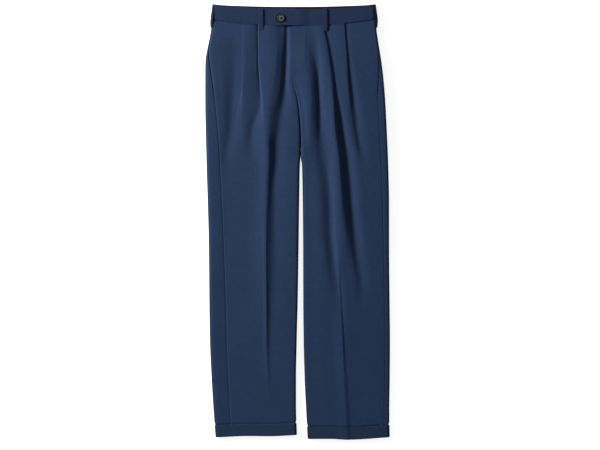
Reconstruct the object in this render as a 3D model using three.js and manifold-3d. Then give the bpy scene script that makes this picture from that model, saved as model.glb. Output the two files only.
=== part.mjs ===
// Pleated dress trousers with turn-up cuffs, laid on their back with the front uppermost.
// Millimetres. +Z is up off the surface, +Y runs from the hems to the waist, +X is the wearer's left.
// The origin is on the surface, under the middle of the garment.
import * as THREE from "three";
import { mergeVertices } from "three/addons/utils/BufferGeometryUtils.js";
import Module from "manifold-3d";

// ---- Driving sizes ----------------------------------------------------------------------
const SEAM_GAP = 0.3; // between two pieces that a seam joins
const BENT_SEAM_GAP = 0.55; // the same, where the seam lies on a tight fold
const CLOTH = 1.1; // one layer of suiting
const BAND_CLOTH = 2.2; // waistband, with its interlining
const LINING_CLOTH = 1.0; // strip inside the back of the waistband
const CUFF_CLOTH = 1.4; // turned-up hem
const LOOP_CLOTH = 1.3; // belt loop, folded in three
const FACING_CLOTH = 1.0; // cloth behind each pocket mouth
const LAYER_PITCH = CLOTH + 0.35; // from one layer of a closed pleat to the next
const PLEAT_FOOT = 6; // past a pleat's far edge, the width in which the cloth comes down
const PLEAT_LIP = 1.2; // width of a pleat's rounded edge

const WAIST_Y = 505; // waist seam at the side folds
const CROTCH_Y = 165;
const HEM_Y = -538;
const CUFF_HEIGHT = 30;
const CUFF_BEVEL = 0.9; // rounding of the cuff's lower edge
const CUFF_STEP = 12; // the leg narrows into its cuff over this length
const CUFF_TOP_Y = HEM_Y + CUFF_HEIGHT;
const LEG_END_Y = HEM_Y + CUFF_CLOTH + SEAM_GAP; // the leg's own cloth ends on the cuff's lip
const FLY_LAP = 12; // how far the right front runs under the fly
const FLY_WIDTH = 45; // from the fly's edge to the far side of its facing
const FLY_RISE_Y = [368, 384]; // the fly comes up on to the right front between these; below
// them the fronts are joined by a plain seam
const FLY_LAP_Y = [386, 406]; // the right front's lap widens between these
const FLY_FADE = 12; // the rise over the fly's layers dies out within this width

const FRONT_WAIST_DIP = 16; // the front waist seam sags this far between the side folds
const BACK_WAIST_DIP = 7;
const WAIST_MIDDLE = -8.25; // halfway between the side folds of the waist
const WAIST_HALF = 204.75;
const BAND_TOP_Y = 543; // front of the waistband's upper edge, at the side folds
const FRONT_TOP_DIP = 11;
const BACK_TOP_DIP = 5.6; // the back of the waistband sags less, so that its inside shows
const BAND_TAPER = 2; // the band is this much narrower on each side at its top
const BAND_PROUD = 1; // the middle of the band lies this far above the loft of the fronts
const BACK_LIFT = LOOP_CLOTH + 0.5; // the back of the waist lies on its belt loops
const BACK_LIFT_Y = [440, 466]; // the back comes up off the surface between these
const WAIST_SAG_Y = 320; // the waist's sag reaches down to here
const HEM_UNEVEN_Y = -420; // the hem's unevenness reaches up to here

const EDGE_RADIUS = 8; // half-round folds at the sides of each leg
const EDGE_SHARE = 0.88; // height of those folds, as a share of the loft
const CENTRE_SHARE = 0.98; // the same at the inner edges
const INNER_CROWN = 0.14; // share of a half's width over which its top rises from the inner edge
const OUTER_CROWN = 0.12; // the same from the outer fold
const FOLDS_FADE = 0.07; // share of the width over which the soft folds die out at both edges
const CROTCH_RADIUS = 14; // the folds beside the crotch seam, above the legs
const CROTCH_BLEND = 60; // those folds tighten to the legs' own over this length

const POCKET_TOP_Y = 480;
const POCKET_END_Y = 310;
const POCKET_GAPE = 1.8;
const FACING_HALF_WIDTH = 8;
const FACING_PAST_END = 12; // a facing runs on below its pocket's mouth by up to this much

const TAB_TIP_X = -58.5; // point of the waistband's extended tab
const TAB_SHOULDER_X = -44;
const TAB_TIP_SHARE = 0.42; // height of the point, as a share of the band
const TAB_RAMP_X = [4, 34]; // the tab comes down off the other half of the band here
const TAB_CLEARANCE = 0.35; // from the other half up to the tab

const BUTTON = { x: -41, y: 507, radius: 9.6, height: 2.8, rim: 1.6, bevel: 0.8, dish: 0.9 };
const BUTTON_HOLES = { radius: 1, spread: 1.9 };
const LOOP = { width: 11.5, standOff: 2.2, bottom: 476, backBottom: 482 };
const LOOP_FALL = [0.55, 1]; // shares of a front loop between which it comes down to the front
const LOOP_FULLNESS = 0.8; // below 1 a loop stands off sooner from its ends
const SIDE_LOOP = { standOff: 2.8, bottom: 484, settle: 6, droop: 1.8 };
const SIDE_LOOP_TURNS = [-0.55, -0.16, 0.22, 0.61, 1]; // angles round the fold, from level
const FRONT_LOOPS_X = { right: -91, left: 69 };
const BACK_LOOPS_X = { right: -112, centre: -3, left: 104 };

// ---- Tables -----------------------------------------------------------------------------
// Rows of numbers under named columns.
const table = (names, ...rows) =>
  rows.map((row) => Object.fromEntries(names.split(" ").map((name, i) => [name, row[i]])));

// The seam between the two fronts, from the waist to the crotch, and that between the backs.
const CENTRE_FRONT = table(
  "y x",
  [505, -13.5], [420, -13.5], [372, -13], [345, -10], [305, 0], [247, 6.6], [200, 8.2], [165, 8.2],
);
const CENTRE_BACK = table("y x", [505, -3], [300, 1], [200, 7], [165, 8]);
// How far each front rolls down into the crotch seam, and each back rolls up into it, in degrees.
const ROLL = table(
  "y front back",
  [505, 0, 0], [372, 0, 0], [345, 25, 0], [305, 50, 0], [260, 68, 0], [220, 84, 30], [192, 94, 62],
  [165, 100, 80],
);
// Sections of each half from waist to hem: the outer fold, how far the side seam lies in from
// it, the leg's inner fold below the crotch, and the loft of the cloth off the surface.
const SECTION = "y edge seam inner loft";
// A pleat or pressed crease: x is the fold's edge, depth the overlap under it (below 0 it has
// opened into a slope that wide), step the height of a layer.
const FOLD_TURN = "y x depth step";
// A soft fold: a line down the cloth, its height there (below 0 is a trough), and how far it
// spreads towards -X (before) and +X (after).
const SOFT_FOLD = "y x height before after";
// The hem's cloth rises by this much along its width.
const HEM = "x rise";

const RIGHT = {
  side: -1,
  sections: table(
    SECTION,
    [505, -213, 1, 8, 15], [480, -215.5, 1, 8, 17], [455, -221, 1.5, 8, 19.5],
    [430, -226, 4, 8, 21.5], [400, -229.4, 9, 8, 23], [360, -230, 16, 8, 24],
    [305, -230, 23, 8, 24.5], [195, -228, 31.5, 8, 24], [165, -227.2, 32.5, 8, 23.5],
    [140, -226.6, 33, 4.4, 23], [55, -224, 34.5, 2.8, 21], [-70, -221, 36.5, 1, 18],
    [-195, -220, 40, -1, 15.5], [-295, -218.5, 41, -3.5, 14], [-395, -214, 40.5, -5.3, 13],
    [-470, -209.5, 39.5, -5, 12.5], [-538, -204.3, 38, -2.5, 12],
  ),
  // The first pleat runs on as the pressed crease.
  crease: table(
    FOLD_TURN,
    [505, -97, 26, 1.45], [462, -97, 22, 1.45], [380, -96, 12, 1.45], [305, -92, 1, 1.45],
    [250, -88, -5, 0.4], [195, -82, -8, 0.1], [95, -78, -8, 0.1], [-5, -78, -6, 0.5],
    [-95, -77, -5, 0.8], [-195, -76, -5, 0.8], [-295, -75.3, -5, 0.7], [-395, -73.8, -6, 0.5],
    [-500, -68.5, -6, 0.5], [-538, -67, -6, 0.4],
  ),
  // The second pleat, nearer the pocket, opens out above the thigh.
  pleat: table(
    FOLD_TURN,
    [505, -137, 22, 1.45], [405, -136.8, 10, 1.45], [330, -138, 0, 1.4], [260, -139.5, -10, 0.5],
    [180, -139, -14, 0], [-100, -128, -14, 0], [-538, -112, -14, 0],
  ),
  hem: table(HEM, [-205, 0.4], [-120, 3.6], [-70, 3.2], [0, 6.4]),
  folds: {
    flyTrough: table(
      SOFT_FOLD,
      [486, -25, -3.6, 5, 4], [442, -26, -6, 6, 4.5], [405, -27.3, -7.2, 8.5, 5],
      [355, -31, -7.6, 8.5, 7], [292, -35, -7.6, 11, 18], [230, -45, -7.4, 12, 28],
      [180, -55.5, -6.8, 8.5, 32], [80, -60, -5, 7.5, 32], [-20, -61, -3.2, 8, 28],
      [-95, -65, -2, 7, 22], [-190, -67, -1.2, 6, 18], [-280, -67.5, -0.8, 5, 16],
      [-400, -67, -0.5, 5, 12], [-500, -64, 0, 5, 12],
    ),
    pocketTrough: table(
      SOFT_FOLD,
      [490, -156, 0, 14, 16], [430, -157, -1.2, 16, 16], [355, -160, -3, 14, 18],
      [292, -163, -3.6, 13, 20], [230, -165, -3.6, 13, 20], [180, -173, -2, 14, 18],
      [110, -180, 0, 16, 18],
    ),
    pleatTrough: table(
      SOFT_FOLD,
      [400, -99, 0, 8, 2], [355, -98.5, -1.8, 10, 2.5], [292, -99, -3.2, 16, 4],
      [230, -113, -3, 10, 16], [150, -118, 0, 12, 14],
    ),
    thighSwell: table(
      SOFT_FOLD,
      [486, -52, 2.5, 30, 10], [405, -54, 4, 28, 10], [355, -60, 4.6, 22, 10],
      [292, -67, 5.2, 18, 11], [230, -74, 6.4, 24, 10], [180, -73, 7.6, 28, 11],
      [80, -71, 8.4, 30, 11], [-20, -71, 8.4, 32, 12], [-95, -72, 6.2, 34, 11],
      [-195, -73, 4, 38, 9], [-295, -74, 2.2, 42, 8], [-420, -71, 0.8, 44, 6],
      [-520, -67, 0, 44, 6],
    ),
    hipSwell: table(
      SOFT_FOLD,
      [490, -200, 0, 14, 30], [400, -209, 1.4, 14, 42], [200, -211, 1.8, 14, 46],
      [-100, -206, 1.2, 14, 46], [-400, -197, 0.6, 14, 40], [-520, -190, 0, 14, 40],
    ),
  },
};
const LEFT = {
  side: 1,
  sections: table(
    SECTION,
    [505, 196.5, 1, 8, 15], [480, 197.5, 1, 8, 17], [455, 200.5, 1.5, 8, 19.5],
    [430, 204, 2.5, 8, 21.5], [400, 208.5, 6, 8, 23], [360, 213.3, 12, 8, 24],
    [305, 217.8, 18, 8, 24.5], [195, 223.5, 18.5, 8, 24], [165, 224.8, 18, 8, 23.5],
    [140, 225.6, 17.5, 11.4, 23], [55, 227.6, 16, 13.3, 21], [-70, 227.8, 13.5, 14.3, 18],
    [-195, 229, 12.5, 14.5, 15.5], [-295, 230, 12, 15.5, 14], [-395, 229.4, 12, 18, 13],
    [-470, 228.4, 12, 21.7, 12.5], [-538, 229.6, 13, 25.5, 12],
  ),
  // The first pleat runs on as the pressed crease.
  crease: table(
    FOLD_TURN,
    [505, 64, 26, 1.45], [477, 67.3, 23, 1.45], [446, 75, 20, 1.45], [405, 81.5, 14, 1.45],
    [367, 88, 9, 1.45], [330, 91.5, 6, 1.45], [300, 92.5, 1, 1.45], [262, 93, -5, 0.9],
    [180, 98, -6, 0.4], [80, 103.5, -6, 0.2], [-20, 104.5, -6, 0.3], [-95, 105.5, -6, 0.6],
    [-195, 109, -5, 0.9], [-295, 113.5, -5, 1], [-395, 118.5, -5, 0.9], [-538, 126, -5, 0.8],
  ),
  // The second pleat, nearer the pocket, opens out above the thigh.
  pleat: table(
    FOLD_TURN,
    [505, 117.5, 22, 1.45], [455, 120.5, 18, 1.45], [412, 125.5, 12, 1.45], [370, 129.5, 5, 1.45],
    [320, 137.5, -3, 1.3], [262, 145, -9, 0.8], [190, 155, -14, 0.2], [100, 163, -14, 0],
    [-100, 170, -14, 0], [-538, 178, -14, 0],
  ),
  hem: table(HEM, [25, -4], [85, -3.6], [126, -5.4], [230, 0.6]),
  folds: {
    flyTrough: table(
      SOFT_FOLD,
      [490, 42, 0, 10, 10], [442, 46, -2, 12, 10], [405, 48.5, -4.4, 12, 10],
      [355, 54.5, -6.8, 12, 8], [292, 58.5, -8, 11, 9], [230, 62, -6.4, 15, 12],
      [180, 67, -4.8, 18, 14], [80, 77, -6, 20, 10], [-20, 81, -6.6, 18, 9],
      [-95, 87, -5.6, 15, 9], [-150, 92, -4.6, 11, 9], [-220, 100, -2, 12, 8],
      [-290, 105, 0, 14, 8],
    ),
    flySwell: table(
      SOFT_FOLD,
      [490, 12, 0, 24, 12], [405, 20, 4, 26, 12], [355, 24, 4.4, 26, 14], [292, 24, 4.4, 24, 16],
      [230, 25, 3, 22, 16], [180, 26, 0, 20, 16],
    ),
    creaseTrough: table(
      SOFT_FOLD,
      [350, 93, 0, 3, 5], [320, 96, -2.4, 4, 6], [292, 99.6, -6.2, 4.6, 7], [262, 105, -9.5, 7, 9],
      [230, 109.5, -10.5, 8, 11], [180, 117, -10, 8.5, 13], [80, 128.5, -9, 9, 14],
      [-20, 139, -6.4, 11, 15], [-95, 150, -4.6, 11, 16], [-150, 158, -2.8, 9, 16],
      [-220, 162, 0, 12, 16],
    ),
    hipTrough: table(
      SOFT_FOLD,
      [400, 130, 0, 4, 6], [345, 138, -3.6, 5, 7], [292, 145, -5.6, 6, 9], [235, 152, -4.6, 9, 12],
      [180, 161, -2.6, 11, 14], [110, 170, 0, 11, 14],
    ),
    thighSwell: table(
      SOFT_FOLD,
      [486, 62, 1.5, 20, 12], [405, 74, 2.6, 18, 12], [330, 84, 3.2, 16, 9],
      [262, 89, 4.4, 16, 10], [180, 95, 5, 18, 10], [80, 101, 5, 17, 12], [-20, 103, 4, 16, 16],
      [-150, 107, 2.6, 16, 18], [-300, 115, 1.2, 20, 18], [-480, 124, 0.6, 20, 18],
    ),
  },
};
const HALVES = { right: RIGHT, left: LEFT };

// Heights at which the panels' rings are set out.
const ROWS = [
  505, 494, 480, 464, 446, 426, 404, 380, 354, 328, 300, 272, 244, 218, 192, 165, 135, 95, 45,
  -20, -90, -160, -230, -300, -370, -440, -496, CUFF_TOP_Y, LEG_END_Y,
];
// Shares of the way from a front's inner edge to its crease, and from a back's outer fold to
// its inner edge, at which points are set. Those outside 0 to 1 are spare points past a seam,
// which only give the cloth's direction there.
const INNER_SHARES = [-0.01, 0, 0.03, 0.07, 0.12, 0.18, 0.26, 0.36, 0.48, 0.6, 0.72, 0.84];
const BETWEEN_SHARES = [0.25, 0.5, 0.75];
const OUTER_SHARES = [0.28, 0.52, 0.76, 0.88, 1];
const BACK_SHARES = [0.15, 0.4, 0.68, 0.88, 0.93, 0.965, 1, 1.01];
const BEND_SHARES = [1 / 3, 2 / 3, 1, 1.1];
const BACK_BEND_SHARES = [0, 0.2, 0.4, 0.6, 0.8, 1];
const BACK_SEAM_SHARES = [-0.1, 0, 0.5];
const BAND_FRONT_SHARES = [-0.01, 0, 0.08, 0.18, 0.27, 0.36, 0.48, 0.62, 0.76, 0.9, 1];
const BAND_BACK_SHARES = [0, 0.15, 0.35, 0.55, 0.78, 1, 1.01];
const BAND_FOLD_TURNS = [1 / 6, 1 / 3, 1 / 2, 2 / 3, 5 / 6];
const BAND_LINING_SHARES = [0.25, 0.99]; // of the band's height
const BAND_LINING_X = [-195, -150, -100, -50, 0, 50, 100, 145, 178];
const FACING_SHARES = [-1.1, -1, -0.67, -0.33, 0, 0.33, 0.67, 1, 1.1];
const LOOP_SHARES = [0, 0.08, 0.2, 0.38, 0.56, 0.74, 0.88, 1];
const LOOP_ACROSS = [-0.5, -0.17, 0.17, 0.5];

// ---- Small helpers ----------------------------------------------------------------------
const { clamp, lerp, degToRad } = THREE.MathUtils;
const ease = (t) => {
  const c = clamp(t, 0, 1);
  return c * c * (3 - 2 * c);
};
const rise = ([from, to], at) => ease((at - from) / (to - from));

// A smooth curve through a table's rows, sorted by falling key (or rising, for by = "x").
function along(rows, column, at, by = "y") {
  const order = rows[0][by] > rows[rows.length - 1][by] ? -1 : 1;
  const last = rows.length - 1;
  const key = (i) => order * rows[i][by];
  const value = (i) => rows[i][column];
  const k = order * at;
  if (k <= key(0)) return value(0);
  if (k >= key(last)) return value(last);
  let i = 0;
  while (k > key(i + 1)) i += 1;
  const span = (a, b) => (value(b) - value(a)) / (key(b) - key(a));
  const here = span(i, i + 1);
  // The slope at a row is nothing at a peak, and otherwise the gentler mean of both spans.
  const slope = (a, b) => (a * b <= 0 ? 0 : (2 * a * b) / (a + b));
  const before = i > 0 ? slope(span(i - 1, i), here) : here;
  const after = i + 1 < last ? slope(here, span(i + 1, i + 2)) : here;
  const width = key(i + 1) - key(i);
  const t = (k - key(i)) / width;
  return (
    value(i) * (1 + 2 * t) * (1 - t) ** 2 +
    before * width * t * (1 - t) ** 2 +
    value(i + 1) * t * t * (3 - 2 * t) +
    after * width * t * t * (t - 1)
  );
}

// ---- The lie of the cloth ---------------------------------------------------------------
// Share of the waist's sag that reaches a ring, and of the hem's unevenness.
const waistShare = (y) => rise([WAIST_SAG_Y, WAIST_Y], y);
const hemShare = (y) => rise([HEM_UNEVEN_Y, HEM_Y], y);
const sag = (x) => 1 - Math.min(1, Math.abs(x - WAIST_MIDDLE) / WAIST_HALF) ** 2.2;
const frontDip = (x) => -FRONT_WAIST_DIP * sag(x);
const backDip = (x) => -BACK_WAIST_DIP * sag(x);

// Where a point of the ring at y really lies along the garment.
function lengthwise(half, y, x, onBack) {
  const dip = onBack ? backDip(x) : frontDip(x);
  return y + dip * waistShare(y) + along(half.hem, "rise", x, "x") * hemShare(y);
}

// How far the cuff's cloth holds the leg in from its outline, and what lies under the back.
const cuffInset = (y) => (CUFF_CLOTH + SEAM_GAP) * rise([CUFF_TOP_Y + CUFF_STEP, CUFF_TOP_Y], y);
const underLift = (y) => BACK_LIFT * rise(BACK_LIFT_Y, y) + cuffInset(y);
// How far the fly is raised over the right front, and how far that runs under it.
const flyShare = (y) => rise(FLY_RISE_Y, y);
const flyLap = (y) => FLY_LAP * rise(FLY_LAP_Y, y);

// The measures of one half's ring at y. Its curve is the middle of the cloth.
function section(half, y) {
  const s = half.side;
  const inset = cuffInset(y) + CLOTH / 2;
  const floor = underLift(y) + CLOTH / 2;
  const below = y <= CROTCH_Y;
  const radius = lerp(EDGE_RADIUS, CROTCH_RADIUS, rise([CROTCH_Y, CROTCH_Y + CROTCH_BLEND], y));
  const roll = degToRad(along(ROLL, "front", y));
  const backRoll = degToRad(along(ROLL, "back", y));
  const turned = Math.sin(Math.min(roll, Math.PI / 2));
  const backTurned = Math.sin(backRoll);
  const seamX = along(CENTRE_FRONT, "x", y) + s * (SEAM_GAP / 2 + (CLOTH / 2 + radius) * turned);
  const legX = along(half.sections, "inner", y) + s * (inset + radius);
  const frontCentre = below ? legX : seamX;
  const seatX = along(CENTRE_BACK, "x", y) + s * (SEAM_GAP / 2 + (CLOTH / 2 + radius) * backTurned);
  const backCentre = below ? legX : lerp(seatX, seamX, ease((200 - y) / (200 - CROTCH_Y)));
  const outerCentre = along(half.sections, "edge", y) - s * (inset + EDGE_RADIUS);
  const loft = along(half.sections, "loft", y);
  return { half, s, y, loft, floor, radius, roll, backRoll, frontCentre, backCentre, outerCentre };
}

// The loft's share at a share t of the way from the inner edge to the outer fold.
function crown(t) {
  const risen = ease(t / INNER_CROWN) * ease((1 - t) / OUTER_CROWN);
  return lerp(lerp(CENTRE_SHARE, EDGE_SHARE, ease(t)), 1, risen);
}

// Height of the cloth's middle over the top of the ring, without the pleats' layers.
function topHeight(sec, x) {
  const { half, s, y, loft, frontCentre, outerCentre } = sec;
  const t = (x - frontCentre) / (outerCentre - frontCentre);
  const at = lengthwise(half, y, x, false);
  const shown = ease(t / FOLDS_FADE) * ease((1 - t) / FOLDS_FADE);
  let folds = 0;
  for (const fold of Object.values(half.folds)) {
    const off = x - along(fold, "x", at);
    const spread = along(fold, off < 0 ? "before" : "after", at);
    folds += along(fold, "height", at) * Math.exp(-((off / spread) ** 2));
  }
  const flyEnd = CENTRE_FRONT[0].x + FLY_WIDTH;
  const fly = s > 0 ? LAYER_PITCH * flyShare(y) * rise([flyEnd, flyEnd - FLY_FADE], x) : 0;
  return loft * crown(t) + folds * shown + fly - CLOTH / 2;
}

// Half of a ring's outer fold and what lies beside it, by the distance from the fold's
// extreme: above 0 over the top, below 0 underneath.
const QUARTER = (EDGE_RADIUS * Math.PI) / 2;
function outerCurve(sec, distance) {
  const { s, floor, outerCentre } = sec;
  if (distance >= QUARTER) {
    const x = outerCentre - s * (distance - QUARTER);
    return { x, z: topHeight(sec, x), back: false };
  }
  const crest = topHeight(sec, outerCentre);
  const angle = (Math.PI / 2) * (1 - Math.max(distance, -QUARTER) / QUARTER);
  const past = Math.min(distance + QUARTER, 0);
  return {
    x: outerCentre + s * (EDGE_RADIUS * Math.sin(angle) + past),
    z: (crest + floor) / 2 + ((crest - floor) / 2) * Math.cos(angle),
    back: angle > Math.PI / 2,
  };
}

// The distance that matches an x on top of the ring, and that of the side seam.
const distanceAt = (sec, x) => QUARTER + sec.s * (sec.outerCentre - x);
function seamDistance(sec) {
  const inset = along(sec.half.sections, "seam", sec.y);
  if (inset >= EDGE_RADIUS) return QUARTER + inset - EDGE_RADIUS;
  return QUARTER * (1 - Math.asin(1 - inset / EDGE_RADIUS) / (Math.PI / 2));
}

// A pleat's turns, as offsets from its edge towards the side and layers above the panel.
function pleatTurns(depth) {
  const over = Math.max(depth, 0);
  const lip = depth > 0 ? Math.min(PLEAT_LIP, 0.3 * depth) : 0.3 * depth;
  const low = depth > 0 ? lip - depth : -1.2 * depth;
  const after = depth > 0 ? 1.8 : 1.8 - 1.4 * depth;
  return [
    [-(over + PLEAT_FOOT), 0], [-(over + 2 * PLEAT_LIP), 2], [-PLEAT_LIP, 2], [0, 1.5], [-lip, 1],
    [lip - depth, 1], [-depth, 0.5], [low, 0], [after, 0],
  ];
}

function pleatPoints(sec, rows) {
  const at = lengthwise(sec.half, sec.y, along(rows, "x", sec.y), false);
  const [edge, depth, step] = ["x", "depth", "step"].map((column) => along(rows, column, at));
  return pleatTurns(depth).map(([out, layers]) => {
    const x = edge + sec.s * out;
    return { x, z: topHeight(sec, x) + layers * step, back: false };
  });
}

// The front's share of the ring, from its inner edge to the side seam.
function frontCurve(sec) {
  const { s, y, floor, radius, roll, frontCentre } = sec;
  const crease = pleatPoints(sec, sec.half.crease);
  const pleat = pleatPoints(sec, sec.half.pleat);
  const lap = s < 0 ? flyLap(y) : 0;
  const inseamHalf = y <= CROTCH_Y ? BENT_SEAM_GAP / 2 / radius : 0;
  const arc = radius * Math.max(0, roll - inseamHalf) - lap;
  const reach = Math.abs(crease[0].x - frontCentre);
  const inner = INNER_SHARES.map((share) => {
    const run = share * (arc + reach + 2 * lap) - lap;
    const left = arc + lap - (run + lap);
    if (lap > 0 || left <= 0) {
      const x = frontCentre + s * (lap > 0 ? run : -left);
      return { x, z: topHeight(sec, x), back: false };
    }
    const crest = topHeight(sec, frontCentre);
    const angle = left / radius;
    return {
      x: frontCentre - s * radius * Math.sin(angle),
      z: (crest + floor) / 2 + ((crest - floor) / 2) * Math.cos(angle),
      back: false,
    };
  });
  const between = BETWEEN_SHARES.map((share) => {
    const x = lerp(crease.at(-1).x, pleat[0].x, share);
    return { x, z: topHeight(sec, x), back: false };
  });
  const gape = y < POCKET_TOP_Y && y > POCKET_END_Y ? POCKET_GAPE : SEAM_GAP;
  const from = distanceAt(sec, pleat.at(-1).x);
  const to = seamDistance(sec) + gape / 2;
  const bend = Math.max(QUARTER, to + 2);
  const outer = OUTER_SHARES.map((share) => outerCurve(sec, lerp(from, bend, share)));
  const seam = BEND_SHARES.map((share) => outerCurve(sec, lerp(bend, to, share)));
  return [...inner, ...crease, ...between, ...pleat, ...outer, ...seam];
}

// The back's share: round the outer fold, under the leg and up to the inseam.
function backCurve(sec) {
  const { s, y, floor, radius, backRoll, outerCentre, backCentre } = sec;
  const gape = y < POCKET_TOP_Y && y > POCKET_END_Y ? POCKET_GAPE : SEAM_GAP;
  const from = seamDistance(sec) - gape / 2;
  const bend = Math.min(QUARTER, from - 0.5);
  const seam = BACK_SEAM_SHARES.map((share) => outerCurve(sec, lerp(from, bend, share)));
  const outer = BACK_BEND_SHARES.map((share) => outerCurve(sec, lerp(bend, -QUARTER, share)));
  const inseamHalf = y <= CROTCH_Y ? BENT_SEAM_GAP / 2 / radius : 0;
  const turn = Math.max(0, backRoll - inseamHalf);
  const flat = Math.abs(outerCentre - backCentre);
  const crest = topHeight(sec, sec.frontCentre);
  const under = BACK_SHARES.map((share) => {
    const run = share * (flat + radius * turn);
    if (run <= flat) return { x: outerCentre - s * run, z: floor, back: true };
    const angle = (run - flat) / radius;
    return {
      x: backCentre - s * radius * Math.sin(angle),
      z: (crest + floor) / 2 - ((crest - floor) / 2) * Math.cos(angle),
      back: true,
    };
  });
  return [...seam, ...outer, ...under];
}

// ---- Walls ------------------------------------------------------------------------------
// Unit normals of an open or closed line of points in a plane, to the left of its travel.
function normals(points, closed) {
  const n = points.length;
  return points.map((p, i) => {
    const a = points[closed ? (i + n - 1) % n : Math.max(0, i - 1)];
    const b = points[closed ? (i + 1) % n : Math.min(n - 1, i + 1)];
    const ia = Math.hypot(p.x - a.x, p.z - a.z) || 1;
    const ib = Math.hypot(b.x - p.x, b.z - p.z) || 1;
    const tx = (p.x - a.x) / ia + (b.x - p.x) / ib;
    const tz = (p.z - a.z) / ia + (b.z - p.z) / ib;
    const size = Math.hypot(tx, tz) || 1;
    return { x: -tz / size, z: tx / size };
  });
}

// One face of a sheet: its points moved out by a distance along the ring's normals. The two
// spare points at the ends of an open curve are left off.
function movedOut(half, y, points, distance, closed = false) {
  const out = normals(points, closed);
  const moved = points.map((p, i) => {
    const x = p.x + half.side * out[i].x * distance;
    const z = p.z + half.side * out[i].z * distance;
    return new THREE.Vector3(x, p.y ?? lengthwise(half, y, p.x, p.back), z);
  });
  return closed ? moved : moved.slice(1, -1);
}

// A closed solid from the rows of points of its two faces. A round wall joins its last column
// to its first.
function wall(outer, inner, round = false) {
  const rows = outer.length;
  const columns = outer[0].length;
  const points = [...outer.flat(), ...inner.flat()];
  const o = (i, j) => i * columns + (j % columns);
  const n = (i, j) => rows * columns + o(i, j);
  const faces = [];
  const quad = (a, b, c, d) => faces.push(a, b, c, a, c, d);
  const spans = round ? columns : columns - 1;
  for (let i = 0; i < rows - 1; i += 1) {
    for (let j = 0; j < spans; j += 1) {
      quad(o(i, j), o(i, j + 1), o(i + 1, j + 1), o(i + 1, j));
      quad(n(i, j), n(i + 1, j), n(i + 1, j + 1), n(i, j + 1));
    }
    if (!round) {
      quad(o(i, 0), o(i + 1, 0), n(i + 1, 0), n(i, 0));
      quad(o(i, columns - 1), n(i, columns - 1), n(i + 1, columns - 1), o(i + 1, columns - 1));
    }
  }
  for (let j = 0; j < spans; j += 1) {
    quad(o(0, j), n(0, j), n(0, j + 1), o(0, j + 1));
    quad(o(rows - 1, j), o(rows - 1, j + 1), n(rows - 1, j + 1), n(rows - 1, j));
  }
  return solid(points, faces);
}

// A geometry whose faces point outwards.
function solid(points, faces) {
  let volume = 0;
  for (let i = 0; i < faces.length; i += 3) {
    const [a, b, c] = [0, 1, 2].map((k) => points[faces[i + k]]);
    volume += a.dot(b.clone().cross(c));
  }
  const indices = volume < 0 ? faces.slice().reverse() : faces;
  const geometry = new THREE.BufferGeometry().setFromPoints(points);
  geometry.setIndex(indices);
  geometry.computeVertexNormals();
  return geometry;
}

const sections = (half, rows) => rows.map((y) => section(half, y));

function panel(half, curve) {
  const rings = sections(half, ROWS).map((sec) => ({ y: sec.y, points: curve(sec) }));
  const face = (distance) => rings.map(({ y, points }) => movedOut(half, y, points, distance));
  return wall(face(CLOTH / 2), face(-CLOTH / 2));
}

const frontPanel = (half) => panel(half, frontCurve);
const backPanel = (half) => panel(half, backCurve);

// The turn-up: a band round the leg's end, with a lip under the edge of its cloth.
function cuff(half) {
  const near = CLOTH / 2 + SEAM_GAP;
  const far = near + CUFF_CLOTH;
  const lip = -CLOTH / 2;
  const ledge = HEM_Y + CUFF_CLOTH;
  const profile = [
    [CUFF_TOP_Y, near], [CUFF_TOP_Y, far], [HEM_Y + CUFF_BEVEL, far], [HEM_Y, far - CUFF_BEVEL],
    [HEM_Y, lip], [ledge, lip], [ledge, near],
  ];
  const rings = profile.map(([y, distance]) => {
    const sec = section(half, Math.min(CUFF_TOP_Y, Math.max(y, LEG_END_Y)));
    const points = [...frontCurve(sec).slice(1, -1), ...backCurve(sec).slice(1, -2)];
    return movedOut(half, y, points, distance, true);
  });
  const columns = rings[0].length;
  const points = rings.flat();
  const at = (i, j) => (i % rings.length) * columns + (j % columns);
  const faces = [];
  for (let i = 0; i < rings.length; i += 1) {
    for (let j = 0; j < columns; j += 1) {
      const [a, b, c, d] = [at(i, j), at(i, j + 1), at(i + 1, j + 1), at(i + 1, j)];
      faces.push(a, b, c, a, c, d);
    }
  }
  return solid(points, faces);
}

// Cloth behind a pocket's mouth, made from the panels' own points moved inwards.
function pocketFacing(half) {
  const rows = ROWS.filter((y) => y <= POCKET_TOP_Y && y > POCKET_END_Y - FACING_PAST_END);
  const depth = CLOTH / 2 + BENT_SEAM_GAP;
  const face = (distance) =>
    sections(half, rows).map((sec) => {
      const seam = seamDistance(sec);
      const points = FACING_SHARES.map((share) => outerCurve(sec, seam - share * FACING_HALF_WIDTH));
      return movedOut(half, sec.y, points, distance);
    });
  return wall(face(-depth), face(-depth - FACING_CLOTH));
}

// ---- Waistband --------------------------------------------------------------------------
const bandFrontY = (x, share) =>
  lerp(WAIST_Y + frontDip(x) + SEAM_GAP, BAND_TOP_Y - FRONT_TOP_DIP * sag(x), share);
const bandBackY = (x, share) =>
  lerp(WAIST_Y + backDip(x) + SEAM_GAP, BAND_TOP_Y - BACK_TOP_DIP * sag(x), share);
const BAND_BACK_Z = BACK_LIFT + BAND_CLOTH / 2;

// Height of the middle of the band's front, without the tab's rise.
function bandFrontZ(x) {
  const sec = section(x < CENTRE_FRONT[0].x ? HALVES.right : HALVES.left, WAIST_Y);
  const t = (x - sec.frontCentre) / (sec.outerCentre - sec.frontCentre);
  return sec.loft * crown(t) + BAND_PROUD;
}
const tabRise = (x) => (BAND_CLOTH + TAB_CLEARANCE) * (1 - rise(TAB_RAMP_X, x));

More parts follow.
